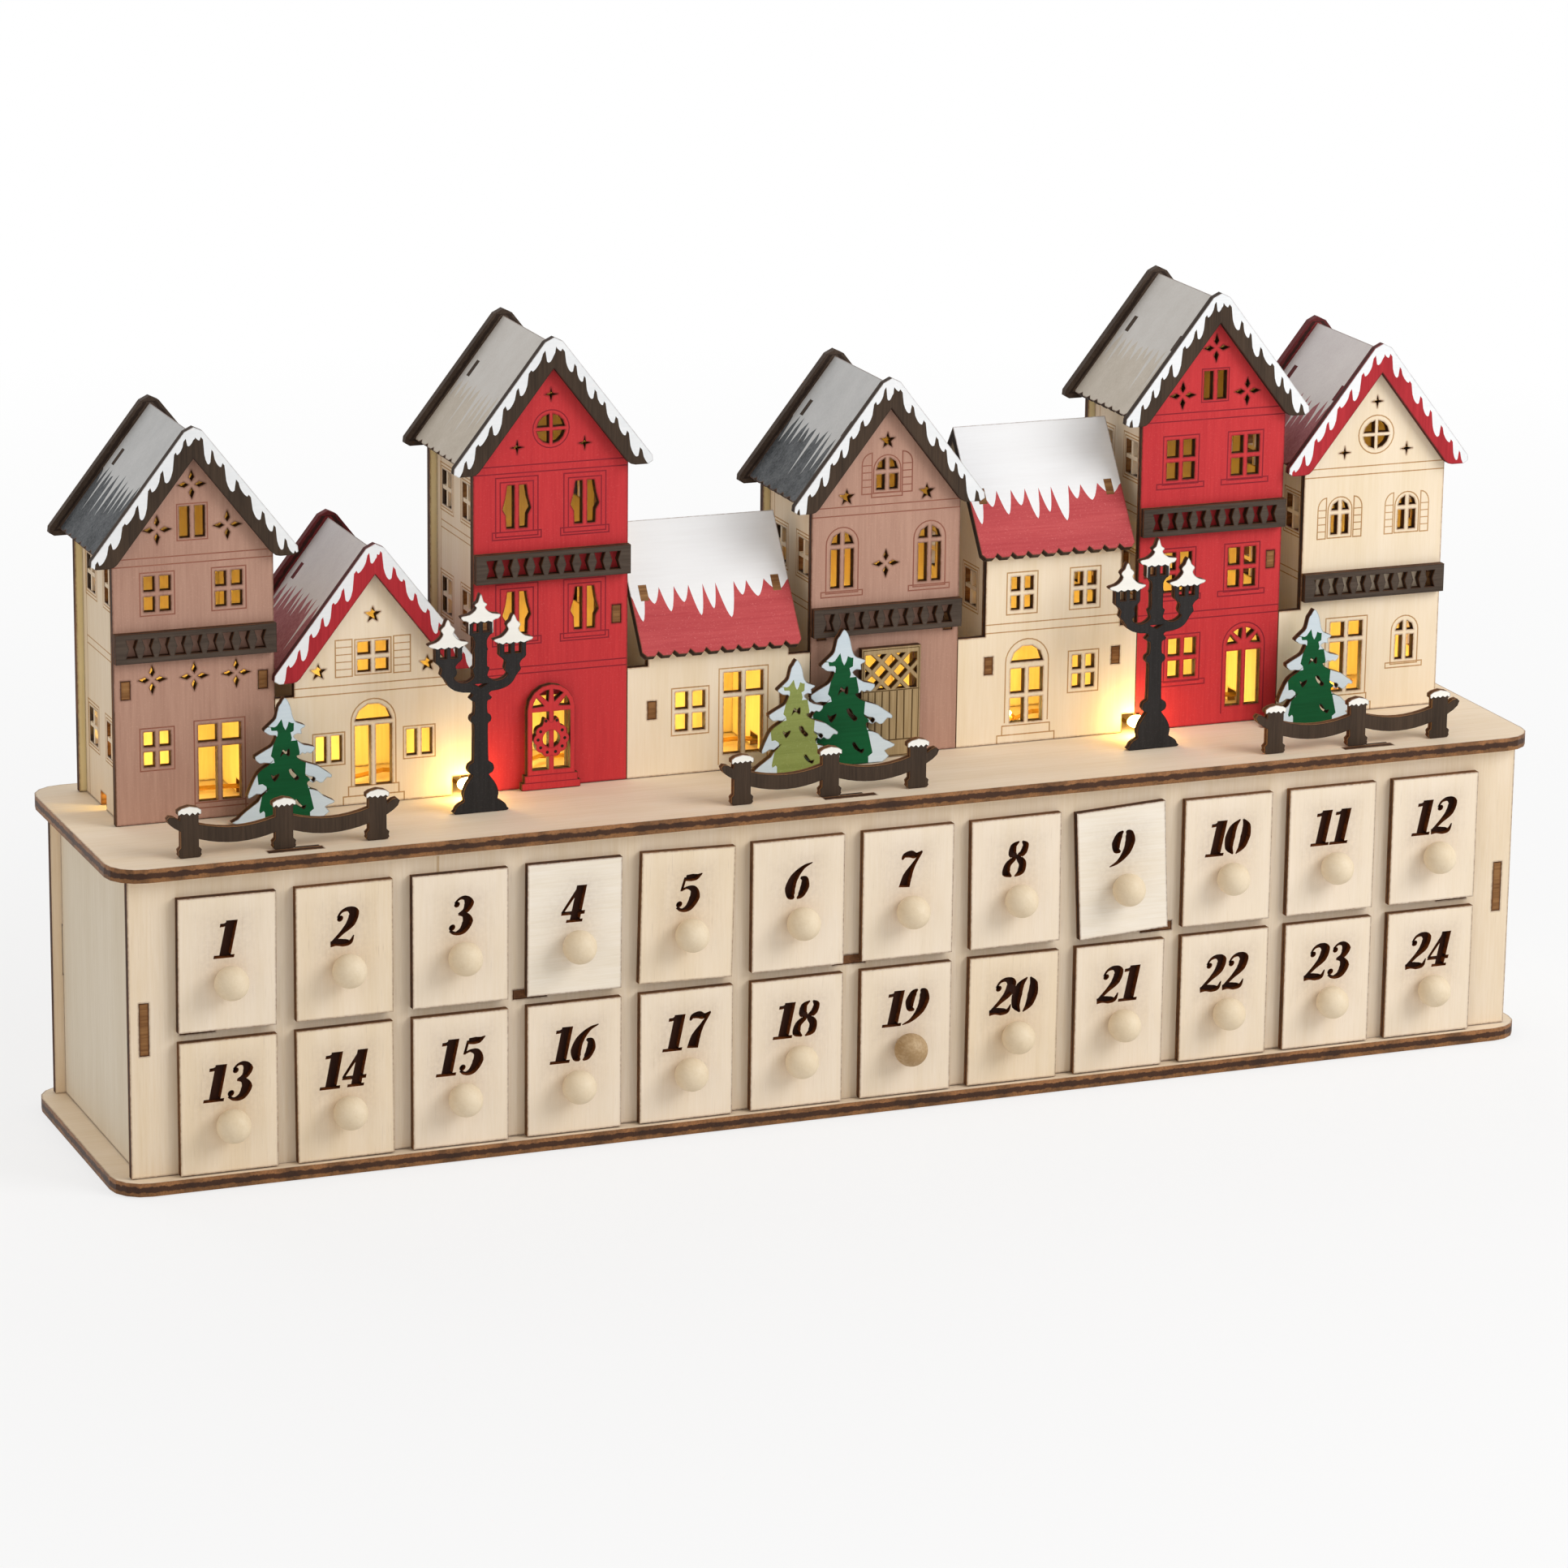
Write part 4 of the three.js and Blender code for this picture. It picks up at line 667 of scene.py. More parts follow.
houses = [
    {"middle": -187.8, "paint": "rose", "apex": 118.5, "roof": "slate", "board": "brown", "left": -211.7,
     "right": -163.9,
     "drawn": [*framed(0, 83.7, 7.6, 9.2, 0.7), *framed(-10.6, 62.8, 8, 10.4, 1.1),
               *framed(10.6, 62.8, 8, 10.4, 1.1),
               *framed(-11.3, 17, 8, 10.4, 1.1), *doorFrame(7.3, 15.2, 29.5), *bandLines(76.4, 78.6),
               line([(-0.4, 5.0), (15, 5.0)]), line([(-0.9, 3.4), (15.6, 3.4)])]},
    {"middle": -134.1, "paint": "cream", "apex": 80.5, "roof": "wine", "board": "red", "left": -158,
     "right": -110.2,
     "drawn": [*framed(0, 39.8, 9.4, 9, 0.8), *shutter(-11.4, -6.3, 38.8, 49.8),
               *shutter(6.3, 11.4, 38.8, 49.8),
               *bandLines(33.8, 36.3), *doorFrame(0, 13.6, 31.6, 5.6, 1),
               *framed(-13.6, 13.5, 7.9, 7.9, 0.9),
               *framed(14, 13.5, 7.9, 7.9, 0.9), *steps2(0, 18.6)]},
    {"middle": -79.5, "paint": "red", "apex": 137.5, "roof": "stone", "board": "brown", "left": -103.4,
     "right": -55.6,
     "drawn": [line(arcPath(0, 107.8, 5.6, 0, 345, 23), 0.35, True), *bandLines(95.4, 97.6),
               *bandLines(35.2, 37.2),
               *[part for x in (-10.5, 10.5) for low in (79, 47.2) for part in
                 (*framed(x, low, 8.2, 12.8, 1.0), *framed(x, low, 8.2, 12.8, 2.4),
                  *sill(x, low, 8.2, 3.4, 2.2))]]},
    {"middle": -26.7, "paint": "cream", "roof": "cherry", "left": -49, "right": -4.4,
     "drawn": [*framed(-8.9, 13.3, 9.4, 12, 1.2), *doorFrame(8, 15.6, 31.3, 1.8)]},
    {"middle": 26.5, "paint": "rose", "apex": 118.5, "roof": "slate", "board": "brown", "left": 2.6,
     "right": 50.4,
     "drawn": [*archFrame(0, 82.1, 6.9, 9.6, 0.9), *sill(0, 82.1, 6.9, 1.5, 1.2),
               *archedShutter(-4.9, -1, 81, 93.4),
               *archedShutter(4.9, 1, 81, 93.4), *bandLines(75, 77.6), *archFrame(-14.1, 53, 7.3, 17, 1.5),
               *archFrame(14.1, 53, 7.3, 17, 1.5), *sill(-14.1, 53, 7.3, 3, 1.6),
               *sill(14.1, 53, 7.3, 3, 1.6)]},
    {"middle": 81.7, "paint": "cream", "roof": "cherry", "left": 59.4, "right": 104,
     "drawn": [*framed(-10.4, 41.7, 7.3, 10.2, 1.4), *framed(10.4, 41.7, 7.3, 10.2, 1.4),
               *framed(10.4, 15.7, 7.3, 10.2, 1.4),
               *bandLines(35.0, 37.6), *doorFrame(-8.3, 14.2, 32.4, 6.5, 1), *steps2(-8.3, 19)]},
    {"middle": 133.7, "paint": "red", "apex": 137.5, "roof": "stone", "board": "brown", "left": 109.8,
     "right": 157.6,
     "drawn": [*framed(0, 102.2, 7.6, 8.8, 0.7), *bandLines(96.2, 98.6), *bandLines(34.2, 36.4),
               *[part for x in (-10.8, 10.8) for low in (78, 43) for part in
                 (*framed(x, low, 9.3, 12.4, 1.3), *sill(x, low, 9.3, 3.2, 1.6))],
               *framed(-8.6, 16, 9.3, 12.3, 1.3), *sill(-8.6, 16, 9.3, 3.2, 1.6),
               *doorFrame(12.3, 14.2, 31.6, 3.2, 1)]},
    {"middle": 188.9, "paint": "cream", "apex": 118.5, "roof": "wine", "board": "red", "left": 165,
     "right": 212.8,
     "drawn": [line(arcPath(0, 87.5, 6, 0, 345, 23), 0.4, True), *bandLines(75.2, 77.8),
               *archFrame(-11.5, 57, 6, 10.6, 1.1),
               *archFrame(11.5, 57, 6, 10.6, 1.1), *[part for x in (-11.5, 11.5) for part in
                                                    (*archedShutter(x - 4.7, -1, 55.8, 68.6, 2.8),
                                                     *archedShutter(x + 4.7, 1, 55.8, 68.6, 2.8))],
               *doorFrame(-7.8, 14.2, 30.4, 5.6), *archFrame(12.4, 15.5, 6.2, 12.3, 1.5),
               *sill(12.4, 15.5, 6.2, 3.2, 1.6),
               *steps2(-7.8, 18.4)]},
]


def atHouse(loops, middle):
    return [np.asarray(loop, float) + (middle, street) for loop in loops]


print("stage: front sheet")
paintSlots = [paints["cream"], paints["rose"], paints["red"], lines["cream"], lines["rose"], lines["red"],
              edge, litPly]
paintIndex = {"cream": 0, "rose": 1, "red": 2}


def paintByPlace(middles):
    tones = np.zeros(len(middles), int)
    for house in houses:
        held = (middles[:, 0] > house["left"]) & (middles[:, 0] < house["right"])
        tones[held] = paintIndex[house["paint"]]
    return tones


def facadeOverlays():
    drawn = []
    for house in houses:
        tone = 3 + paintIndex[house["paint"]]
        drawn += [(atHouse(loops, house["middle"]), tone) for loops in house["drawn"]]
    for house in houses:
        if house["paint"] != "cream":
            for x in (house["left"], house["right"]):
                drawn.append(([box2(x - 0.18, x + 0.18, street, street + 34)], 6))
    return drawn


seams = sorted({x for h in houses if h["paint"] != "cream" for x in (h["left"], h["right"])})
dressed("village_front", "streetFront", [
    {"test": facing(1, -1), "slot": 0, "painted": True, "overlays": facadeOverlays(), "outer": True},
    {"test": facing(1, 1), "slot": 7},
], paintSlots, 6, splits=seams, paintOf=paintByPlace)
dressed("village_back", "streetRear", [
    {"test": facing(1, 1), "slot": 0, "outer": True},
    {"test": facing(1, -1), "slot": 1},
], [ply, litPly, edge], 2)

print("stage: house shells")
shellLook = {"wallInset": 2.2, "halfWide": 23.9, "crossHalf": 22.3, "boardHalf": 32.5, "sheet": 2.5,
             "back": 39.5,
             "windowY": (9.25, 27.75), "window": (8.2, 10.4), "seamY": 33.2}
sideRows = [[17, 62.8], [17], [17, 47.4, 79.8], [15.5], [17, 55.4], [15.5, 41.7], [17, 43, 78], [17, 57]]
sideBands = [(46.2, 48.4), (), (72.6, 74.8), (), (45, 47.2), (), (66.5, 68.7), (42, 44.2)]
# Marks of the tabs on the slopes: half their width, place
# along the ridge and rise from the eave's lower end.
tabMarks = {"half": 1.2, "fromEnd": 4.8, "rise": np.array([24, 29.6]),
            "crossHalf": 1.3, "crossBeside": 21, "crossRise": np.array([17.5, 22.6])}
tongues = {"lengths": (4.0, 1.9, 4.9, 2.3, 5.4, 1.7, 4.1, 2.9, 4.8, 1.8, 3.7, 2.3), "base": 1.5,
           "step": 3.5}
icicles = {"ends": (0, 4.6, 9.3, 14, 18.6, 23.1, 27.2, 33, 37, 42.6, 50.4),
           "lengths": (10.5, 5.2, 8, 5.4, 10, 8.2, 11.4, 4.6, 5.4, 4), "line": 0.5}
spikes = {"count": 11, "lengths": (5.2, 11.8, 7.4, 14.6, 8.2, 16.8, 10.6, 6.2, 13.2, 8.0, 4.6, 10.0),
          "line": 0.5}


def tongueSnow(middle, apex, side, seed):
    # snow along the upper edge of a verge board: a band whose lower edge hangs down in round tongues,
    # each a half ellipse of its own length
    rng = np.random.default_rng(seed)
    starts, rows = -0.8, []
    k = 0
    while starts < 35:
        wide = tongues["step"] * rng.uniform(0.78, 1.25)
        long = tongues["lengths"][(k + seed) % 12] * rng.uniform(0.85, 1.15)
        t = np.linspace(-1, 1, 8)
        drop = long * np.sqrt(np.maximum(1 - t ** 2, 0)) ** 0.9
        rows.append(np.stack([starts + (t + 1) / 2 * wide * 0.82, drop], 1))
        starts += wide
        k += 1
    rows = np.vstack(rows)
    x = rows[:, 0]
    z = apex - np.abs(x) * np.tan(steep) - tongues["base"] / np.cos(steep) - rows[:, 1]
    upper = np.array([(37.0, apex - 37 * np.tan(steep) + 5), (-0.8, apex + 5)])
    return [np.vstack([np.stack([middle + side * x, street + z], 1),
                       np.stack([middle + side * upper[:, 0], street + upper[:, 1]], 1)])]


def spikedSnow(spots, seed):
    # snow on the upper half of a slope, with pointed streaks that run down it
    rng = np.random.default_rng(seed)
    low, high = spots.min(0), spots.max(0)
    line0 = high[1] - spikes["line"] * (high[1] - low[1])
    ends = np.linspace(low[0] + 0.5, high[0] - 0.5, spikes["count"] + 1)
    ends[1:-1] += rng.uniform(-0.8, 0.8, spikes["count"] - 1)
    points = [(low[0] - 2, high[1] + 2), (low[0] - 2, line0)]
    for k in range(spikes["count"]):
        long = spikes["lengths"][(k * 5 + seed) % 12] * rng.uniform(0.85, 1.1)
        rise = rng.uniform(-0.8, 1.6)
        tip = ends[k] + (ends[k + 1] - ends[k]) * rng.uniform(0.35, 0.65)
        points += [(ends[k], line0 + rise), (ends[k] * 0.55 + tip * 0.45, line0 - long * 0.35),
                   (tip, line0 - long),
                   (tip * 0.6 + ends[k + 1] * 0.4, line0 - long * 0.3)]
    points += [(high[0] + 2, line0), (high[0] + 2, high[1] + 2)]
    return [np.array(points)]


def icicleSnow(spots):
    # white upper half with rounded icicles: each hangs by its length times one minus t to the power 1.6
    low, high = spots.min(0), spots.max(0)
    wide = high[0] - low[0]
    line0 = high[1] - icicles["line"] * (high[1] - low[1])
    ends = low[0] + np.array(icicles["ends"]) / icicles["ends"][-1] * wide
    t = np.linspace(-1, 1, 11)
    shape = 1 - np.abs(t) ** 1.6
    rows = [np.stack([a + (b - a) * (t + 1) / 2, line0 - long * shape], 1)
            for a, b, long in zip(ends[:-1], ends[1:], icicles["lengths"])]
    rows[0][0, 0] -= 1
    rows[-1][-1, 0] += 1
    return [np.vstack([*rows, [(high[0] + 1, high[1] + 2), (low[0] - 1, high[1] + 2)]])]


def windowRows(index, side):
    # heights of a wall's windows: the ground floor has them only at the two ends of the street
    streetEnd = (index == 0 and side < 0) or (index == len(houses) - 1 and side > 0)
    return sideRows[index] if streetEnd else sideRows[index][1:]


def wallHalf(house):
    return shellLook["halfWide"] - shellLook["wallInset"] if "apex" in house else shellLook["crossHalf"]


def wallOverlays(index, tone):
    # engraved frames round the side windows, a double band and a seam near the rear
    def make(spots, n, d):
        sign = 1 if n[0] > 0 else -1
        drawn = []
        rows = windowRows(index, sign)
        wide, tall = shellLook["window"]
        for y in shellLook["windowY"]:
            for low in rows:
                for loops in (*framed(sign * y, low, wide, tall, 0.9),
                              *framed(sign * y, low, wide, tall, 1.9)):
                    drawn.append(([loop + (0, street) for loop in loops], tone))
        top = spots[:, 1].max()
        seam = sign * shellLook["seamY"]
        drawn.append((line([(seam, street), (seam, top + 1)], 0.35), tone))
        for z in sideBands[index]:
            drawn.append((line([(min(0, seam), street + z), (max(0, seam), street + z)], 0.35), tone))
        return drawn
    return make


def dressShell(index, house):
    middle = house["middle"]
    tone = roofTones[house["roof"]]
    snowTone = {"slate": "greySnow", "wine": "mauveSnow", "stone": "stoneSnow",
                "cherry": "snow"}[house["roof"]]
    board = stains[house.get("board", "brown")]
    slots = [ply, litPly, tone, roofTones[snowTone], board, white, lines["cream"],
             redBoardEdge if house.get("board") == "red" else boardEdge, plyDeep, tabWood]
    half = wallHalf(house)

    def outerWall(n, d):
        return abs(n[0]) > 0.99 and (d * n[0] - middle) * n[0] > half - 0.4

    def tabEnd(n, d):
        # faces across Y from the front sheet's face to 30 mm behind it: the ends of the walls' tabs
        return abs(n[1]) > 0.99 and -3 < d * n[1] < 30

    def innerWall(n, d):
        return abs(n[0]) > 0.99

    def roofTop(n, d):
        return 0.5 < n[2] < 0.7

    def roofUnder(n, d):
        return -0.7 < n[2] < -0.5

    def roofPaint(spots, n, d):
        if house["roof"] == "cherry":
            drawn = [(icicleSnow(spots), 3)]
            low = spots.min(0)
            for x in (-tabMarks["crossBeside"], tabMarks["crossBeside"]):
                u = (middle + x) * (1 if n[1] < 0 else -1)
                wide = tabMarks["crossHalf"]
                drawn.append(([box2(u - wide, u + wide, *(low[1] + tabMarks["crossRise"]))], 9))
            return drawn
        drawn = [(spikedSnow(spots, index + (3 if n[0] > 0 else 0)), 3)]
        low, high = spots.min(0), spots.max(0)
        wide = tabMarks["half"]
        for u in (low[0] + tabMarks["fromEnd"], high[0] - tabMarks["fromEnd"]):
            drawn.append(([box2(u - wide, u + wide, *(low[1] + tabMarks["rise"]))], 7))
        return drawn

    boardSnow = [(tongueSnow(middle, house["apex"], side, index * 2 + (side > 0)), 5)
                 for side in (-1, 1)] if "apex" in house else []
    dressed("house_%d_shell" % (index + 1), "houseShell_%d" % (index + 1), [
        {"test": outerWall, "slot": 0, "overlays": wallOverlays(index, 6), "outer": True},
        {"test": innerWall, "slot": 1},
        {"test": roofTop, "slot": 2, "overlays": roofPaint, "outer": True, "ring": 0.45},
        {"test": roofUnder, "slot": 8},
        {"test": facing(1, -1, -6, -4), "slot": 4, "overlays": boardSnow, "outer": True, "ring": 0.4},
        {"test": tabEnd, "slot": 9, "burn": 0.15, "minimum": 1},
        {"test": facing(1, -1), "slot": 4, "outer": True, "ring": 0.4},
        {"test": facing(1, 1), "slot": 4, "ring": 0.4},
    ], slots, 7, minimum=2.6)


for index, house in enumerate(houses):
    dressShell(index, house)


def boxes(name, spans, slot, body="case"):
    # several small blocks as one mesh, each given by its six limits
    spans = np.asarray(spans, float)
    corner = np.array([(i, j, k) for i in (0, 1) for j in (0, 1) for k in (0, 1)])
    points = np.stack([np.where(corner[:, a], spans[:, 2 * a + 1:2 * a + 2], spans[:, 2 * a:2 * a + 1])
                       for a in range(3)], 2)
    faces = np.array([(0, 1, 3), (0, 3, 2), (4, 6, 7), (4, 7, 5), (0, 4, 5), (0, 5, 1), (2, 3, 7),
                      (2, 7, 6), (0, 2, 6), (0, 6, 4), (1, 5, 7), (1, 7, 3)])
    triangles = (faces[None] + 8 * np.arange(len(spans))[:, None, None]).reshape(-1, 3)
    return makeMesh(name, points.reshape(-1, 3), triangles, [slot], np.zeros(len(triangles)), body=body)


def sideBars():
    # glazing bars of the side windows: an upright and a cross bar in each
    half, lap, thick = 0.6, 0.1, 2.3
    spans = []
    wide, tall = shellLook["window"]
    for index, house in enumerate(houses):
        for side in (-1, 1):
            outer = house["middle"] + side * (wallHalf(house) - 0.1)
            x0, x1 = sorted((outer, outer - side * thick))
            for y in shellLook["windowY"]:
                for low in windowRows(index, side):
                    z = street + low
                    cross = z + tall / 2
                    spans.append((x0, x1, y - half, y + half, z - lap, z + tall + lap))
                    spans.append((x0 + 0.02, x1 - 0.02, y - wide / 2 - lap, y + wide / 2 + lap,
                                  cross - half, cross + half))
    return boxes("sideWindowBars", spans, ply)


sideBars()

print("stage: balconies, doors and scenery")
upright = [facing(1, -1), facing(1, 1)]
for number in (1, 3, 5, 7, 8):
    dressed("balcony_%d" % number, "balconyFront_%d" % number,
            [{"test": upright[0], "slot": 0, "outer": True, "ring": 0.35},
             {"test": upright[1], "slot": 0, "ring": 0.35}],
            [stains["brownLevel"], edge], 1)

doorLook = {"wreath": (-80.2, 15.35), "ring": (2.7, 5.0), "bumps": 10, "bump": 0.55, "berry": 4.15,
            "bow": 1.7,
            "front": -5.26, "stable": 27.7}


def stepLines():
    # the lines of the two steps under the wreath door
    x = doorLook["wreath"][0]
    return [(line([(x - half, street + z), (x + half, street + z)], 0.3), 1) for half,
            z in ((9, 2.35), (8.3, 4.6))]


dressed("wreath_door", "wreathDoor",
        [{"test": upright[0], "slot": 0, "outer": True, "ring": 0.35, "overlays": stepLines()},
         {"test": upright[1], "slot": 0, "ring": 0.35}],
        [paints["red"], lines["red"], edge], 2)


def wreath():
    # a ring whose rim swells ten times round, with two ears
    # of a bow at the top and a dark berry in each swelling
    x, z = doorLook["wreath"][0], street + doorLook["wreath"][1]
    inner, outer = doorLook["ring"]
    t = np.linspace(0, 2 * np.pi, 100, endpoint=False)
    swell = doorLook["bump"] * np.abs(np.cos(t * doorLook["bumps"] / 2))
    ears = doorLook["bow"] * np.exp(-((np.abs(np.degrees(t) - 90) - 17) / 9) ** 2)
    radius = outer + np.maximum(swell, ears)
    rim = np.stack([x + radius * np.cos(t), z + radius * np.sin(t)], 1)
    hole = np.stack([x + inner * np.cos(t[::4]), z + inner * np.sin(t[::4])], 1)
    berries = [([arcPath(x + doorLook["berry"] * np.cos(a), z + doorLook["berry"] * np.sin(a), 0.5, 0, 324,
                         9)], 1)
               for a in np.radians(np.arange(0, 360, 36)) if abs(np.degrees(a) - 90) > 20]
    loops = [rim, hole]
    for side in (-1, 1):
        berries.append(([arcPath(x + side * 1.7, z + outer + 0.55, 0.5, 0, 324, 9)], 1))
    return sheetPiece("wreathRing", None, loops, doorLook["front"], berries, [paints["red"], dark, edge], 2,
                      0.3, 2.4)


wreath()


def plankLines():
    # upright joints between planks of uneven width, a kick board and a line round the frame
    x, low = doorLook["stable"], street
    drawn = []
    for k, offset in enumerate((-7.4, -5.0, -2.9, -0.3, 1.9, 4.4, 6.9)):
        drawn.append((line([(x + offset, low + 5.6), (x + offset + 0.12 * (-1) ** k, low + 20.6)], 0.42),
                      1))
    drawn.append((line([(x - 9, low + 5.4), (x + 9, low + 5.4)], 0.36), 1))
    drawn.append((line([(x - 9.2, low + 20.8), (x + 9.2, low + 20.8)], 0.3), 1))
    drawn.append((line(box2(x - 9.0, x + 9.0, low + 0.6, low + 33.6), 0.28, True), 1))
    return drawn


dressed("stable_door", "stableDoor",
        [{"test": upright[0], "slot": 0, "outer": True, "ring": 0.35, "overlays": plankLines()},
         {"test": upright[1], "slot": 0, "ring": 0.35}],
        [stains["door"], wood("plankJoint", "#5d4527", "#3f2d18", upwards), edge], 2)


def drippingCap(x, half, low, high, seed, drips=4, long=1.1):
    # a patch of snow whose lower edge hangs in small points
    rng = np.random.default_rng(seed)
    ends = np.linspace(x - half, x + half, drips * 2 + 1)
    lows = low - np.where(np.arange(drips * 2 + 1) % 2 == 1, rng.uniform(0.5, 1, drips * 2 + 1) * long, 0)
    return [np.vstack([np.stack([ends, lows], 1), [(x + half, high), (x - half, high)]])]


fenceLook = {"middles": (-172.8, -5.6, 167), "pitch": 27.8, "post": 2.6, "cap": 3.4, "top": 15.2,
             "foot": 0.2,
             "railTop": 9.8, "rail": 4.4, "sag": 1.8, "front": -40}
stubEnd = ((0.2, 11.2), (1.9, 12.3), (3.2, 12.6), (4.0, 11.8), (3.4, 10.4), (2.0, 9.2),
           (0.0, 8.0))  # out from a post


def fenceOutline():
    # three posts with domed caps and swelling feet, joined by rails that sag as a parabola
    half, cap, top, foot = fenceLook["post"], fenceLook["cap"], fenceLook["top"], fenceLook["foot"]
    domed = np.array([(-half, top - 2.7), (-cap, top - 2.3), (-cap, top - 1.2), (-cap + 1.1, top - 0.5),
                      (0, top),
                      (cap - 1.1, top - 0.5), (cap, top - 1.2), (cap, top - 2.3), (half, top - 2.7)])
    swelling = np.array([(half, 3.2), (cap, 2.4), (cap - 0.2, 1.4), (cap, 0.9), (cap - 0.5, foot),
                         (0.5 - cap, foot), (-cap, 0.9), (0.2 - cap, 1.4), (-cap, 2.4), (-half, 3.2)])
    t = np.linspace(0, 1, 9)
    dip = fenceLook["sag"] * (1 - (2 * t - 1) ** 2)
    stub = np.array(stubEnd)
    pitch = fenceLook["pitch"]
    parts = [np.stack([-pitch - half - stub[::-1, 0], stub[::-1, 1]], 1)]
    for post in (-pitch, 0, pitch):
        parts.append(domed + (post, 0))
        if post < pitch:
            parts.append(np.stack([post + half + t * (pitch - 2 * half), fenceLook["railTop"] - dip], 1))
    parts.append(np.stack([pitch + half + stub[:, 0], stub[:, 1] - 0.6], 1))
    for post in (pitch, 0, -pitch):
        parts.append(swelling + (post, 0))
        if post > -pitch:
            parts.append(np.stack([post - half - t * (pitch - 2 * half),
                                   fenceLook["railTop"] - fenceLook["rail"] - dip], 1))
    return np.vstack(parts)


for k, side in enumerate(("left", "middle", "right")):
    x = fenceLook["middles"][k]
    caps = [(drippingCap(x + p * fenceLook["pitch"], 4, street + 13.3, street + 16, 5 * k + p + 1, 5, 0.8),
             1) for p in (-1, 0, 1)]
    sheetPiece("fencePiece_" + side, "fence_" + side, [fenceOutline() + (x, street)], fenceLook["front"],
               caps,
               [stains["brown"], capSnow, paleEdge], 2)

# Right half of a lamp from the foot's middle up, in millimetres from its axis and from the street.
lampFoot = ((0, 0.2), (8, 0.2), (7.9, 1.1), (7.3, 2.3), (6.2, 3.1), (5.0, 3.8), (5.3, 5.4), (5.0, 7.2),
            (4.0, 9.2), (2.8, 10.8), (2.4, 11.5), (3.4, 12), (4.0, 13.2), (3.5, 14.6), (2.4, 15.3))
lampShaft = ((2.2, 16), (2.1, 21), (2.1, 26.5), (2.8, 27.2), (3.2, 28.2), (2.8, 29.3), (2.0, 29.8),
             (1.9, 33.3), (2.8, 33.8), (3.3, 34.4), (2.8, 35.0), (2.4, 35.6))
lampArm = ((3.2, 36.3), (5.4, 36.5), (8.1, 37.3), (9.8, 38.7), (10.8, 40.4), (11.6, 41.4), (12.2, 42.2),
           (11.8, 43.8), (12.7, 45.1),
           (13.8, 46.1), (13.8, 49.8), (15.4, 50.6), (15.9, 51.2), (15.3, 51.6), (13.6, 52), (12.1, 53.1),
           (11.5, 54.3), (12.1, 55.3),
           (11.8, 56.0), (11.0, 56.7), (10.6, 57.7), (10.0, 58.6), (9.4, 57.7), (9.0, 56.7), (8.2, 56.0),
           (7.9, 55.3), (8.4, 54.3),
           (7.6, 53.1), (6.2, 52), (4.4, 51.6), (3.9, 51.2), (4.5, 50.7), (5.7, 49.8), (5.7, 46.6),
           (6.8, 45.5), (7.7, 44.4),
           (7.3, 42.6), (7.8, 41.5), (8.3, 40.9), (7.0, 39.7), (5.0, 39.2), (3.3, 39.7), (2.2, 40.6))
lampHead = ((2.0, 41.4), (2.6, 43.3), (1.9, 43.9), (1.9, 48.2), (2.2, 48.8), (1.9, 49.4), (1.8, 51.5),
            (2.8, 53.1), (3.8, 53.8),
            (3.8, 57.2), (5.3, 57.7), (6.0, 58.7), (5.4, 59.1), (3.4, 59.4), (1.8, 60.5), (1.3, 61.4),
            (1.9, 62), (1.6, 62.5), (0.9, 63), (0.5, 64.1), (0, 65.4))
lampLook = {"left": -107.9, "right": 106.9, "front": -22.5, "sidePane": 9.75, "capLine": (50.4, 57.3),
            "pane": (0.6, 2.6), "topPane": (53.9, 56.7), "armPane": (46.9, 49.9)}


def lampLoops(x):
    # the half outline and its mirror image joined, and the lanterns' six panes with the gap over the arms
    half = np.array(lampFoot + lampShaft + lampArm + lampHead)
    whole = np.vstack([half, (half[1:-1] * (-1, 1))[::-1]])
    near, far = lampLook["pane"]
    panes = [box2(side * near, side * far, *lampLook["topPane"]) for side in (-1, 1)]
    for side in (-1, 1):
        middle = side * lampLook["sidePane"]
        panes += [box2(middle + way * near, middle + way * far, *lampLook["armPane"]) for way in (-1, 1)]
    gap = np.array([(-2.3, 38.7), (0, 37.4), (2.3, 38.7)])
    return [loop + (x, street) for loop in (flowing(whole, 2), *panes, gap)]


for k, side in enumerate(("left", "right")):
    x = lampLook[side]
    low, high = lampLook["capLine"]
    caps = [(drippingCap(x, 6.6, street + high, street + 68, k + 3, 6, 0.8), 1)]
    caps += [(drippingCap(x + way * 9.9, 6.4, street + low, street + 60, k + 5 + way, 6, 0.8), 1)
             for way in (-1, 1)]
    sheetPiece("streetLamp_" + side, "lamp_" + side, lampLoops(x), lampLook["front"], caps,
               [stains["black"], capSnow, edge], 2)

treeLook = {"tree_left": (-163.8, -12, 36.8, "darkGreen"),
            "tree_light_green": (-6.3, -14, 35.3, "lightGreen"),
            "tree_middle": (10.4, -9.8, 42.2, "darkGreen"), "tree_right": (165.2, -12, 36.4, "darkGreen")}
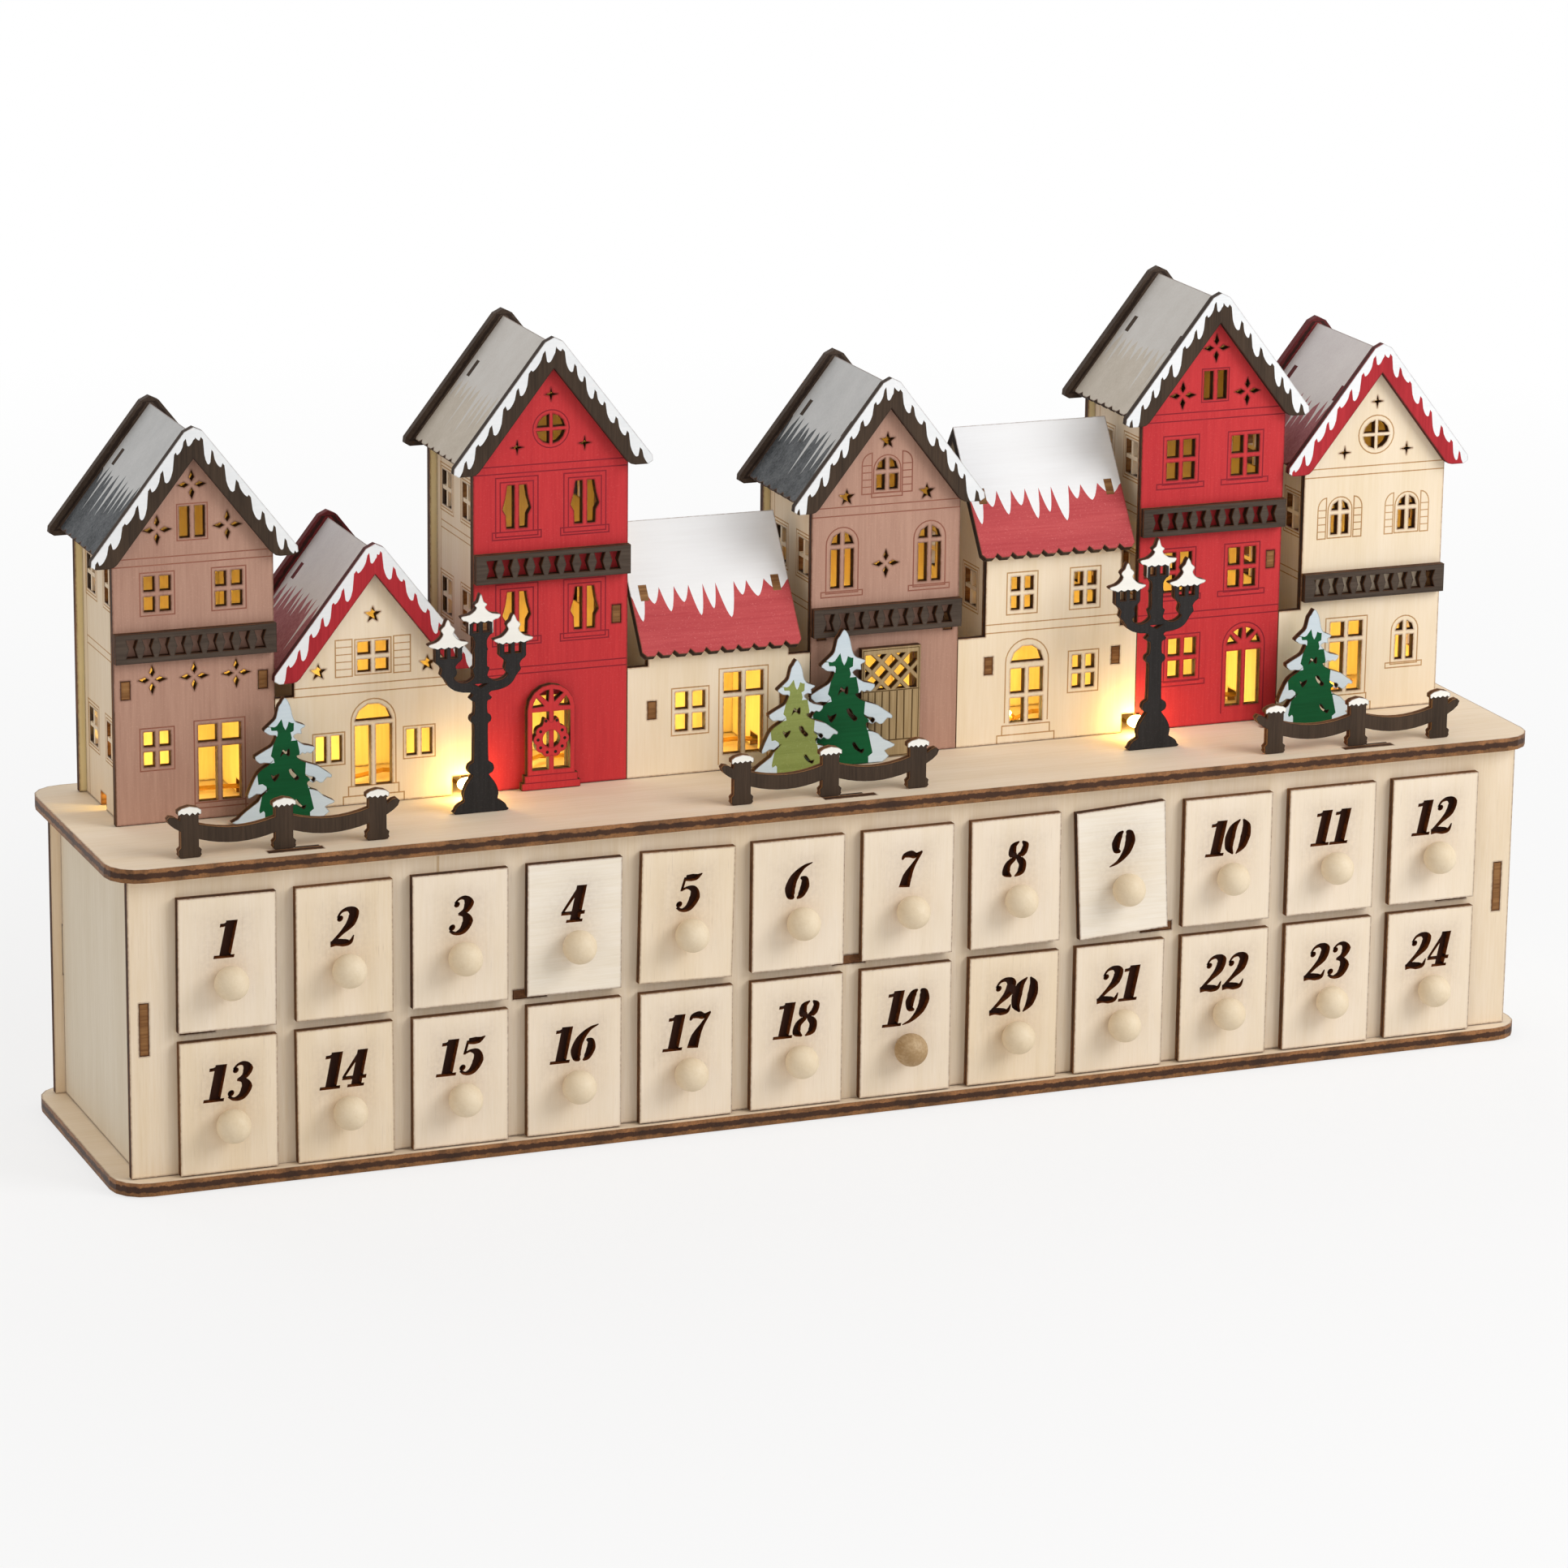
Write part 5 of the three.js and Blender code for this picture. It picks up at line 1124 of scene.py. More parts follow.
# A tree's two sides from the tip down, as shares of its height: distance from the axis and height.
treeRight = ((0.03, 0.964), (0.05, 0.907), (0.062, 0.849), (0.08, 0.806), (0.108, 0.785), (0.165, 0.762),
             (0.154, 0.745), (0.131, 0.732),
             (0.135, 0.695), (0.10, 0.70), (0.069, 0.681), (0.10, 0.645), (0.154, 0.605), (0.242, 0.58),
             (0.224, 0.541), (0.205, 0.53),
             (0.181, 0.54), (0.162, 0.53), (0.139, 0.541), (0.124, 0.526), (0.092, 0.519), (0.124, 0.483),
             (0.185, 0.454),
             (0.263, 0.426), (0.324, 0.383), (0.378, 0.342), (0.371, 0.318), (0.34, 0.324), (0.309, 0.289),
             (0.278, 0.286),
             (0.252, 0.304), (0.224, 0.289), (0.193, 0.307), (0.176, 0.286), (0.208, 0.243), (0.27, 0.218),
             (0.313, 0.174), (0.400, 0.128), (0.378, 0.105), (0.324, 0.085), (0.31, 0.006))
treeLeft = ((0.03, 0.955), (0.05, 0.928), (0.066, 0.86), (0.085, 0.821), (0.168, 0.75), (0.154, 0.727),
            (0.124, 0.706), (0.093, 0.702),
            (0.069, 0.692), (0.093, 0.634), (0.124, 0.605), (0.245, 0.541), (0.224, 0.497), (0.2, 0.483),
            (0.17, 0.487), (0.124, 0.48),
            (0.10, 0.498), (0.139, 0.462), (0.2, 0.426), (0.247, 0.368), (0.307, 0.235), (0.293, 0.208),
            (0.239, 0.239), (0.2, 0.235),
            (0.162, 0.261), (0.133, 0.276), (0.2, 0.21), (0.224, 0.174), (0.317, 0.11), (0.388, 0.048),
            (0.395, 0.006))
needleGaps = (((-0.041, 0.522), (-0.023, 0.57), (-0.012, 0.58), (0.006, 0.56), (0.02, 0.577),
               (0.035, 0.579), (0.035, 0.53), (0.02, 0.527), (0, 0.547), (-0.023, 0.542)),
              ((-0.117, 0.388), (-0.098, 0.372), (-0.052, 0.389), (-0.059, 0.361), (-0.088, 0.328),
               (-0.106, 0.351)),
              ((0.028, 0.41), (0.046, 0.419), (0.064, 0.407), (0.078, 0.377), (0.107, 0.349),
               (0.107, 0.332), (0.086, 0.323), (0.064, 0.346), (0.042, 0.373)),
              ((0.165, 0.362), (0.194, 0.345), (0.23, 0.338), (0.245, 0.319), (0.227, 0.296),
               (0.201, 0.327), (0.172, 0.347)),
              ((0.075, 0.158), (0.093, 0.167), (0.115, 0.136), (0.137, 0.109), (0.166, 0.114),
               (0.151, 0.083), (0.126, 0.096), (0.093, 0.121)))
# Where snow ends on the top and on each branch: the inner
# edge of a patch, then the corners that close it in the open.
snowEdges = (((-0.088, 0.767), (-0.067, 0.775), (-0.027, 0.829), (-0.012, 0.767), (0.004, 0.737),
              (0.02, 0.764), (0.031, 0.802),
              (0.056, 0.789), (0.10, 0.785), (0.2, 0.81), (0.2, 1.1), (-0.2, 1.1), (-0.2, 0.79)),
             ((-0.117, 0.769), (-0.11, 0.74), (-0.066, 0.737), (-0.059, 0.722), (-0.063, 0.69),
              (-0.3, 0.66), (-0.3, 0.78)),
             ((0.074, 0.8), (0.071, 0.725), (0.045, 0.713), (0.056, 0.669), (0.049, 0.645), (0.3, 0.65),
              (0.3, 0.8)),
             ((-0.088, 0.66), (-0.117, 0.536), (-0.095, 0.513), (-0.088, 0.48), (-0.32, 0.45),
              (-0.32, 0.62)),
             ((0.096, 0.66), (0.118, 0.55), (0.114, 0.49), (0.32, 0.48), (0.32, 0.62)),
             ((-0.235, 0.45), (-0.221, 0.312), (-0.188, 0.316), (-0.156, 0.292), (-0.152, 0.25),
              (-0.42, 0.18), (-0.42, 0.4)),
             ((0.169, 0.47), (0.162, 0.369), (0.201, 0.316), (0.18, 0.286), (0.187, 0.25), (0.45, 0.26),
              (0.45, 0.42)),
             ((-0.188, 0.24), (-0.217, 0.1), (-0.21, 0.078), (-0.181, 0.096), (-0.17, 0.081),
              (-0.167, -0.05), (-0.5, -0.05), (-0.5, 0.17)),
             ((0.194, 0.24), (0.231, 0.079), (0.198, 0.054), (0.202, -0.05), (0.5, -0.05), (0.5, 0.2)))


def tree(name, x, front, height, tone):
    # the two sides joined at tip and foot, with gaps between the needles and snow on each branch
    right, left = np.array(treeRight), np.array(treeLeft) * (-1, 1)
    outline = np.vstack([[(0, 0.998)], right, left[::-1]])

    def place(loop):
        return np.asarray(loop) * height + (x, street)

    curve = flowing(outline, 2)
    curve[:, 1] = np.maximum(curve[:, 1], 0.006)
    loops = [place(curve)] + [place(flowing(gap, 2)) for gap in needleGaps]
    patches = [([place(loop)], 1) for loop in snowEdges]
    sheetPiece("snowy_" + name, name, loops, front, patches, [stains[tone], paleSnow, edge], 2)


for name, (x, front, height, tone) in treeLook.items():
    tree(name, x, front, height, tone)

print("stage: box")
flatFaces = [facing(2, 1), facing(2, -1)]
# painted shade: a dark strip in the top plate where the slot under each fence lies open, right of its middle
# post
slotMarks = [([box2(x + 3.2, x + 10.5, -39.6, -38.4)], 1) for x in fenceLook["middles"]]
dressed("base_plate", "basePlate",
        [{"test": flatFaces[0], "slot": 0, "outer": True}, {"test": flatFaces[1], "slot": 0}],
        [plyLevel, plateEdge], 1)
dressed("top_plate", "topPlate",
        [{"test": flatFaces[0], "slot": 0, "outer": True, "overlays": slotMarks},
         {"test": flatFaces[1], "slot": 0}],
        [plyLevel, dark, plateEdge], 2)
stain = [([box2(-128.3, -127.5, 86, 91.4)], 2), (line([(-127.9, 87), (-127.9, 80)], 0.2), 2)]
dressed("box_front", "boxFront",
        [{"test": upright[0], "slot": 0, "outer": True, "overlays": stain},
         {"test": upright[1], "slot": 0}],
        [ply, edge, wood("glueStain", "#dcc3a0", "#cba980", upwards)], 1)
dressed("rack_and_back", "rackAndBack",
        [{"test": facing(1, 1, 42), "slot": 0, "outer": True},
         {"test": facing(1, -1, -40.2, -39.8), "slot": 0},
                                         {"test": lambda n, d: True, "slot": 0, "burn": 0.4}], [ply, edge],
        1, minimum=2.6)
for side in ("left", "right"):
    outerSign = -1 if side == "left" else 1
    dressed("box_side_" + side, "boxSide_" + side,
            [{"test": facing(0, outerSign), "slot": 0, "outer": True},
             {"test": facing(0, -outerSign), "slot": 0},
             {"test": lambda n, d: abs(n[1]) > 0.99 and abs(d) > 42, "slot": 2, "burn": 0.5}],
            [plyDeep, edge, tabWood], 1)

print("stage: drawers")
drawerLook = {"pitch": 34.86, "width": 29, "height": 39.7, "face": -45.3, "back": -42.8,
              "base": (4.4, 47.0),
              "knobRadius": 5, "knobFromBase": 14.95, "tray": (24.6, 35, 2, 14.5), "trayLift": 1.9,
              "digit": 10.9, "digitFromBase": 21.4, "bold": 1.36, "lean": 0.21, "pocket": 2.3}
turns = {1: 0.4, 4: 0.3, 5: 1.2, 8: -0.5, 9: -2.9, 14: -0.4, 20: 0.3}  # fronts that sit askew, in degrees
brightDrawers = (4, 9)
warmDrawers = (2, 5, 13, 14, 20)
charredDrawers = (1, 3, 4, 9)
brownKnobDrawer = 19
knobSlot = 5  # place of the knob's wood among a drawer's materials


def stroke(points, halves, steps=5):
    # a pen stroke: a smooth line through the points, half its width to each side
    p, w = np.asarray(points, float), np.asarray(halves, float)
    k = np.arange(len(p))
    at = np.linspace(0, len(p) - 1, (len(p) - 1) * steps + 1)
    i = np.clip(at.astype(int), 0, len(p) - 2)
    f = (at - i)[:, None]
    padded = np.vstack([2 * p[0] - p[1], p, 2 * p[-1] - p[-2]])
    a, b, c, d = padded[i], padded[i + 1], padded[i + 2], padded[i + 3]
    path = between(a, b, c, d, f)
    wide = np.interp(at, k, w)[:, None] * drawerLook["bold"]
    way = np.gradient(path, axis=0)
    way /= np.maximum(np.linalg.norm(way, axis=1, keepdims=True), 1e-9)
    side = np.stack([-way[:, 1], way[:, 0]], 1) * wide
    return np.vstack([path + side, (path - side)[::-1]])


def ball(x, y, radius):
    return arcPath(x, y, radius, 0, 330, 11)


sixParts = [stroke([(0.60, 0.985), (0.36, 0.87), (0.16, 0.62), (0.10, 0.34), (0.17, 0.11), (0.27, 0.02)],
                   [0.012, 0.045, 0.095, 0.115, 0.085, 0.02]),
            stroke([(0.34, 0.60), (0.47, 0.53), (0.52, 0.32), (0.46, 0.11), (0.36, 0.015)],
                   [0.02, 0.07, 0.10, 0.08, 0.02])]
digits = {
    "0": (0.66, [stroke([(0.27, 0.99), (0.11, 0.78), (0.07, 0.5), (0.11, 0.22), (0.27, 0.01)],
                        [0.015, 0.09, 0.115, 0.09, 0.015]),
                 stroke([(0.36, 0.99), (0.50, 0.78), (0.54, 0.5), (0.50, 0.22), (0.36, 0.01)],
                        [0.015, 0.09, 0.115, 0.09, 0.015])]),
    "1": (0.58, [stroke([(0.30, 0.0), (0.30, 1.0)], [0.115, 0.115], 1),
                 stroke([(0.0, 0.875), (0.12, 0.885), (0.24, 0.94)], [0.035, 0.035, 0.05], 3),
                 stroke([(0.0, 0.03), (0.56, 0.03)], [0.032, 0.032], 1)]),
    "2": (0.68, [ball(0.15, 0.74, 0.085),
                 stroke([(0.07, 0.77), (0.16, 0.93), (0.34, 0.98), (0.50, 0.86), (0.47, 0.60), (0.28, 0.36),
                         (0.05, 0.10)],
                                                 [0.02, 0.03, 0.05, 0.105, 0.10, 0.05, 0.03]),
                 stroke([(0.02, 0.06), (0.20, 0.10), (0.40, 0.07), (0.56, 0.08), (0.62, 0.26)],
                        [0.06, 0.07, 0.075, 0.05, 0.012])]),
    "3": (0.66, [ball(0.15, 0.80, 0.08),
                 stroke([(0.08, 0.84), (0.20, 0.96), (0.36, 0.96), (0.48, 0.80), (0.42, 0.62),
                         (0.24, 0.53)],
                                                [0.02, 0.028, 0.05, 0.105, 0.07, 0.02]),
                 stroke([(0.24, 0.53), (0.42, 0.50), (0.54, 0.31), (0.46, 0.09), (0.26, 0.015),
                         (0.09, 0.10)], [0.02, 0.055, 0.115, 0.09, 0.035, 0.025]),
                 ball(0.14, 0.18, 0.09)]),
    "4": (0.70, [stroke([(0.42, 0.0), (0.42, 1.0)], [0.105, 0.105], 1),
                 stroke([(0.02, 0.26), (0.36, 0.94)], [0.028, 0.04], 1),
                 stroke([(0.0, 0.25), (0.66, 0.25)], [0.038, 0.038], 1),
                 stroke([(0.18, 0.03), (0.64, 0.03)], [0.03, 0.03], 1)]),
    "5": (0.66, [stroke([(0.15, 0.90), (0.32, 0.90), (0.46, 0.91), (0.60, 1.0)],
                        [0.06, 0.075, 0.065, 0.012]),
                 stroke([(0.14, 0.92), (0.11, 0.54)], [0.028, 0.028], 1),
                 stroke([(0.10, 0.56), (0.26, 0.63), (0.45, 0.57), (0.53, 0.34), (0.43, 0.09),
                         (0.24, 0.015), (0.08, 0.10)],
                        [0.02, 0.03, 0.07, 0.115, 0.09, 0.035, 0.025]), ball(0.13, 0.18, 0.088)]),
    "6": (0.66, sixParts),
    "7": (0.64, [stroke([(0.05, 0.80), (0.10, 0.91), (0.26, 0.94), (0.42, 0.89), (0.60, 0.99)],
                        [0.02, 0.055, 0.075, 0.06, 0.02]),
                 stroke([(0.59, 0.97), (0.42, 0.64), (0.31, 0.34), (0.28, 0.02)],
                        [0.02, 0.05, 0.105, 0.12])]),
    "8": (0.66, [stroke([(0.29, 0.99), (0.15, 0.87), (0.15, 0.68), (0.24, 0.54), (0.09, 0.36), (0.09, 0.14),
                         (0.27, 0.01)],
                        [0.015, 0.075, 0.085, 0.055, 0.075, 0.09, 0.015]),
                 stroke([(0.38, 0.99), (0.50, 0.87), (0.48, 0.68), (0.37, 0.55), (0.52, 0.36), (0.52, 0.14),
                         (0.36, 0.01)],
                        [0.015, 0.07, 0.08, 0.055, 0.08, 0.09, 0.015])]),
    "9": (0.66, [(0.62, 1.0) - part for part in sixParts]),
}


def numberLoops(text, x, low):
    # the digits of a number side by side, leaning to the right, centred on x
    size = drawerLook["digit"]
    total = sum(digits[c][0] for c in text) - 0.04
    at = -total / 2
    loops = []
    for c in text:
        for part in digits[c][1]:
            lean = part[:, 0] + at + drawerLook["lean"] * (part[:, 1] - 0.5)
            loops.append(np.stack([x + lean * size, low + part[:, 1] * size], 1))
        at += digits[c][0]
    return loops


def trayMesh(x, half, y0, y1, z0, height, wall):
    # an open tray as one closed skin: outer walls, rim, inner walls and floor
    outer = np.array([(x - half, y0), (x + half, y0), (x + half, y1), (x - half, y1)])
    inner = np.array([(x - half + wall, y0 + wall), (x + half - wall, y0 + wall),
                      (x + half - wall, y1 - wall), (x - half + wall, y1 - wall)])
    rings = [(outer, z0), (outer, z0 + height), (inner, z0 + height), (inner, z0 + wall)]
    points = np.vstack([np.column_stack([ring, np.full(4, z)]) for ring, z in rings])
    faces = []
    for r in range(3):
        for k in range(4):
            a, b = 4 * r + k, 4 * r + (k + 1) % 4
            faces += [(a, b, b + 4), (a, b + 4, a + 4)]
    faces += [(0, 2, 1), (0, 3, 2), (12, 13, 14), (12, 14, 15)]
    return points, np.array(faces)


def knobMesh(x, y, z, radius, around=32, rows=20):
    # a ball turned on an axis that points forward, with a small flat where it meets the plate
    t = np.linspace(0.0, np.pi * 0.86, rows)
    profile = np.stack([radius * np.sin(t), -radius * np.cos(t)], 1)
    turn = np.linspace(0, 2 * np.pi, around, endpoint=False)
    ring = profile[1:]
    points = np.stack([x + ring[:, 0:1] * np.cos(turn), np.repeat(y + ring[:, 1:2], around, 1),
                       z + ring[:, 0:1] * np.sin(turn)], 2).reshape(-1, 3)
    points = np.vstack([points, [(x, y - radius, z), (x, points[-1, 1], z)]])
    grid = np.arange((rows - 1) * around).reshape(rows - 1, around)
    a, b = grid[:-1], grid[1:]
    an, bn = np.roll(a, -1, 1), np.roll(b, -1, 1)
    faces = np.concatenate([np.stack([a, an, bn], 2).reshape(-1, 3), np.stack([a, bn, b], 2).reshape(-1, 3),
                            np.stack([np.full(around, len(points) - 2), grid[0], np.roll(grid[0], -1)],
                                     1)[:, [0, 2, 1]],
                            np.stack([np.full(around, len(points) - 1), grid[-1], np.roll(grid[-1], -1)],
                                     1)])
    return points, faces


drawerTones = {"plain": wood("drawerFace", "#f5e6d2", "#e9d6b8", upwards, 0.3, 0.3, pore=0.1),
               "bright": wood("brightDrawerFace", "#f8efe1", "#ecdfc9", level, 0.5, 0.3, pore=0.04),
               "warm": wood("warmDrawerFace", "#f4e3cb", "#e7d1ae", upwards, 0.3, 0.35, pore=0.14)}
knobWood = wood("turnedKnob", "#eddcc0", "#dcc6a2", (1, 0.25, 1), 0.25, 0.3, rough=0.48, pore=0.1,
                sheen=0.3)
brownKnob = wood("darkerKnob", "#cdb491", "#a98b64", (1, 0.25, 1), 0.5, 0.7, rough=0.5, pore=0.4)
pocketWall = wood("numberWall", "#8a4a1c", "#522810", deep, 0.7, 0.4)
# painted shade: the near-black floor of each digit's pocket stands for the drawer's dark inside seen through
# the cut-out number
digitHoleShade = wood("numberHoleShade", "#42200d", "#2a1308", upwards, 0.5, 0.5)
trayWood = wood("trayBoard", "#eadcc2", "#d4c19c", level, 0.4, 0.4, pore=0.1)


def drawer(number):
    column, row = (number - 1) % 12, (number - 1) // 12
    x = (column - 5.5) * drawerLook["pitch"]
    base = drawerLook["base"][1 - row]
    half, height = drawerLook["width"] / 2, drawerLook["height"]
    face, back = drawerLook["face"], drawerLook["back"]
    corners = np.array([(x - half, base), (x + half, base), (x + half, base + height),
                        (x - half, base + height)])
    rim = np.array([(0, 1), (1, 2), (2, 3), (3, 0)])
    loops = numberLoops(str(number), x, base + drawerLook["digitFromBase"])
    spots, triangles, tone, burn = recut(corners, rim, [([loop], 1) for loop in loops], 0.7)
    cut = tone == 1
    starts, ends = loopEdges(loops)
    burn = np.maximum(burn, np.clip(1 - rimDistance(spots, starts, ends) / 0.45, 0, 1) * 0.4)
    front = np.column_stack([spots[:, 0], np.full(len(spots), face), spots[:, 1]])
    count = len(spots)
    sides, shared = triangleSides(triangles[cut], count)
    lip = sides[~shared]
    deepPoints = front + (0, drawerLook["pocket"], 0)
    walls = np.vstack([np.stack([lip[:, 0], lip[:, 0] + count, lip[:, 1] + count], 1),
                       np.stack([lip[:, 0], lip[:, 1] + count, lip[:, 1]], 1)])[:, ::-1]
    rear = np.column_stack([corners[:, 0], np.full(4, back), corners[:, 1]])
    r = 2 * count + np.arange(4)
    ids = [int(np.argmin(((spots - c) ** 2).sum(1))) for c in corners]
    skirt = []
    for k in range(4):
        a, b, c, d = ids[k], ids[(k + 1) % 4], r[(k + 1) % 4], r[k]
        skirt += [(a, d, c), (a, c, b)]
    # the pockets' floors behind the digits take the painted shade
    plate = [triangles[~cut], walls, triangles[cut] + count, np.array(skirt),
             np.array([(r[0], r[3], r[2]), (r[0], r[2], r[1])])]
    tones = [0, 3, 4, 2, 0]
    points = np.vstack([front, deepPoints, rear])
    burns = np.concatenate([burn, np.zeros(count), np.ones(4)])
    layers = np.concatenate([np.ones(count), np.zeros(count), np.zeros(4)])
    z = base + drawerLook["knobFromBase"]
    ballPoints, ballFaces = knobMesh(x, face - 4.5, z, drawerLook["knobRadius"])
    turn = np.radians(turns.get(number, 0))
    middle = np.array([x, 0, base + height / 2])
    everything = np.vstack([points, ballPoints]) - middle
    turned = np.column_stack([everything[:, 0] * np.cos(turn) + everything[:, 2] * np.sin(turn),
                              everything[:, 1],
                              -everything[:, 0] * np.sin(turn) + everything[:, 2] * np.cos(turn)]) + middle
    wide, tall, wall, end = drawerLook["tray"]
    trayPoints, trayFaces = trayMesh(x, wide / 2, back - 0.02, end, base + drawerLook["trayLift"], tall,
                                     wall)
    allPoints = np.vstack([turned, trayPoints])
    parts = plate + [ballFaces + len(points), trayFaces + len(turned)]
    tones += [knobSlot, 6]
    toneOf = np.concatenate([np.full(len(part), tone) for part, tone in zip(parts, tones)])
    extra = len(allPoints) - len(burns)
    look = "bright" if number in brightDrawers else "warm" if number in warmDrawers else "plain"
    slots = [drawerTones[look], edge, edge if number in charredDrawers else paleEdge, pocketWall, digitHoleShade,
             brownKnob if number == brownKnobDrawer else knobWood, trayWood]
    name = "drawer_%02d" % number
    made = makeMesh("numbered_" + name, allPoints, np.vstack(parts), slots, toneOf,
                    np.concatenate([burns, np.zeros(extra)]),
                    np.concatenate([layers, np.zeros(extra)]), name, (name,))
    tonesNow = np.empty(len(made.data.polygons), np.int32)
    made.data.polygons.foreach_get("material_index", tonesNow)
    made.data.polygons.foreach_set("use_smooth", tonesNow == knobSlot)


for number in range(1, 25):
    drawer(number)

print("stage: light string and battery holder")
copper = gloss("enamelledWire", "#c79a4b", 0.32, 0.75)
shell = gloss("holderShell", "#f0eee8", 0.4, mottle=0.012)
grip = gloss("blackSlider", "#1f1f20", 0.5)
bulbGlass = gloss("litBulb", "#ffe9a8", 0.2, light=40.0, lightTint="#ffd873")
for name, slotMaterial in (("battery_case", shell), ("battery_lid", shell), ("switch_slider", grip),
                           ("led_string", copper)):
    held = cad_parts[name].data
    held.materials.clear()
    held.materials.append(slotMaterial)


def glowing(name, place, power, size=0.0015, tint="#ffdf86"):
    lamp = bpy.data.lights.new(name, "POINT")
    lamp.energy = power
    lamp.color = linear(tint)[:3]
    lamp.shadow_soft_size = size
    placed(name, lamp).location = Vector(place) / 1000


stringLook = {"houseGlow": 0.025, "footGlow": 0.0026, "footBulb": 1.3, "glowHeight": 103.5,
              "beside": 8, "along": 14.0, "bulbHeight": 101.6, "footReach": 2.6,
              "feet": ((-107, -7), (108.4, -7))}
for k, house in enumerate(houses):
    place = (house["middle"] - stringLook["beside"], stringLook["along"], stringLook["glowHeight"])
    glowing("houseGlow_%d" % (k + 1), place, stringLook["houseGlow"])
for k, (x, y) in enumerate(stringLook["feet"]):
    place = (x, y - stringLook["footReach"], stringLook["bulbHeight"])
    glowing("footGlow_%d" % (k + 1), place, stringLook["footGlow"])


def bulbs():
    # rice-grain bulbs: a ball drawn out along X, worked out on a grid of two angles
    around, rows, halfLong, radius = 12, 7, 2.3, 1.5
    beside, along, height = stringLook["beside"], stringLook["along"], stringLook["bulbHeight"]
    places = [(h["middle"] - beside, along, height) for h in houses]
    places += [(x, y, height) for x, y in stringLook["feet"]]
    u = np.linspace(0, 2 * np.pi, around, endpoint=False)
    v = np.linspace(0, np.pi, rows + 2)[1:-1]
    wide = radius * np.sin(v)[:, None]
    length = np.repeat(halfLong * np.cos(v)[:, None], around, 1)
    ring = np.stack([length, wide * np.cos(u), wide * np.sin(u)], 2).reshape(-1, 3)
    one = np.vstack([ring, [(halfLong, 0, 0), (-halfLong, 0, 0)]])
    grid = np.arange(rows * around).reshape(rows, around)
    right, left = rows * around, rows * around + 1
    a, b = grid[:-1], grid[1:]
    an, bn = np.roll(a, -1, 1), np.roll(b, -1, 1)
    faces = np.concatenate([np.stack([a, b, bn], 2).reshape(-1, 3), np.stack([a, bn, an], 2).reshape(-1, 3),
                            np.stack([np.full(around, right), grid[0], np.roll(grid[0], -1)], 1),
                            np.stack([np.full(around, left), np.roll(grid[-1], -1), grid[-1]], 1)])
    size = np.where(np.arange(len(places)) < len(houses), 1.0, stringLook["footBulb"])[:, None, None]
    points = (size * one[None] + np.array(places)[:, None]).reshape(-1, 3)
    triangles = (faces[None] + len(one) * np.arange(len(places))[:, None, None]).reshape(-1, 3)
    return makeMesh("bulbs", points, triangles, [bulbGlass], np.zeros(len(triangles)), smooth=True)


bulbs()


def lidRibs():
    # a thumb grip on the battery lid: four low ribs beside the lid's own ridge, a little lower than it
    low, high = (1000 * np.array(corner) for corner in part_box("battery_lid"))
    ridge, pitch, half = high[0] - 8, 2.6, 5.5
    middle = (low[2] + high[2]) / 2
    spans = [(x - 0.6, x + 0.6, high[1] - 0.6, high[1] - 0.1, middle - half, middle + half)
             for x in ridge - pitch * np.arange(1, 5)]
    return boxes("lidRibs", spans, shell, "battery_lid")


lidRibs()

print("stage: light and floor")


def softLight(name, place, size, power, tint, aim=(0, 0, 110)):
    lamp = bpy.data.lights.new(name, "AREA")
    lamp.shape = "RECTANGLE"
    lamp.size, lamp.size_y = size
    lamp.energy = power
    lamp.color = linear(tint)[:3]
    holder = placed(name, lamp)
    start = Vector(place) / 1000
    holder.matrix_world = (Vector(aim) / 1000 - start).to_track_quat("-Z", "Y").to_matrix().to_4x4()
    holder.location = start


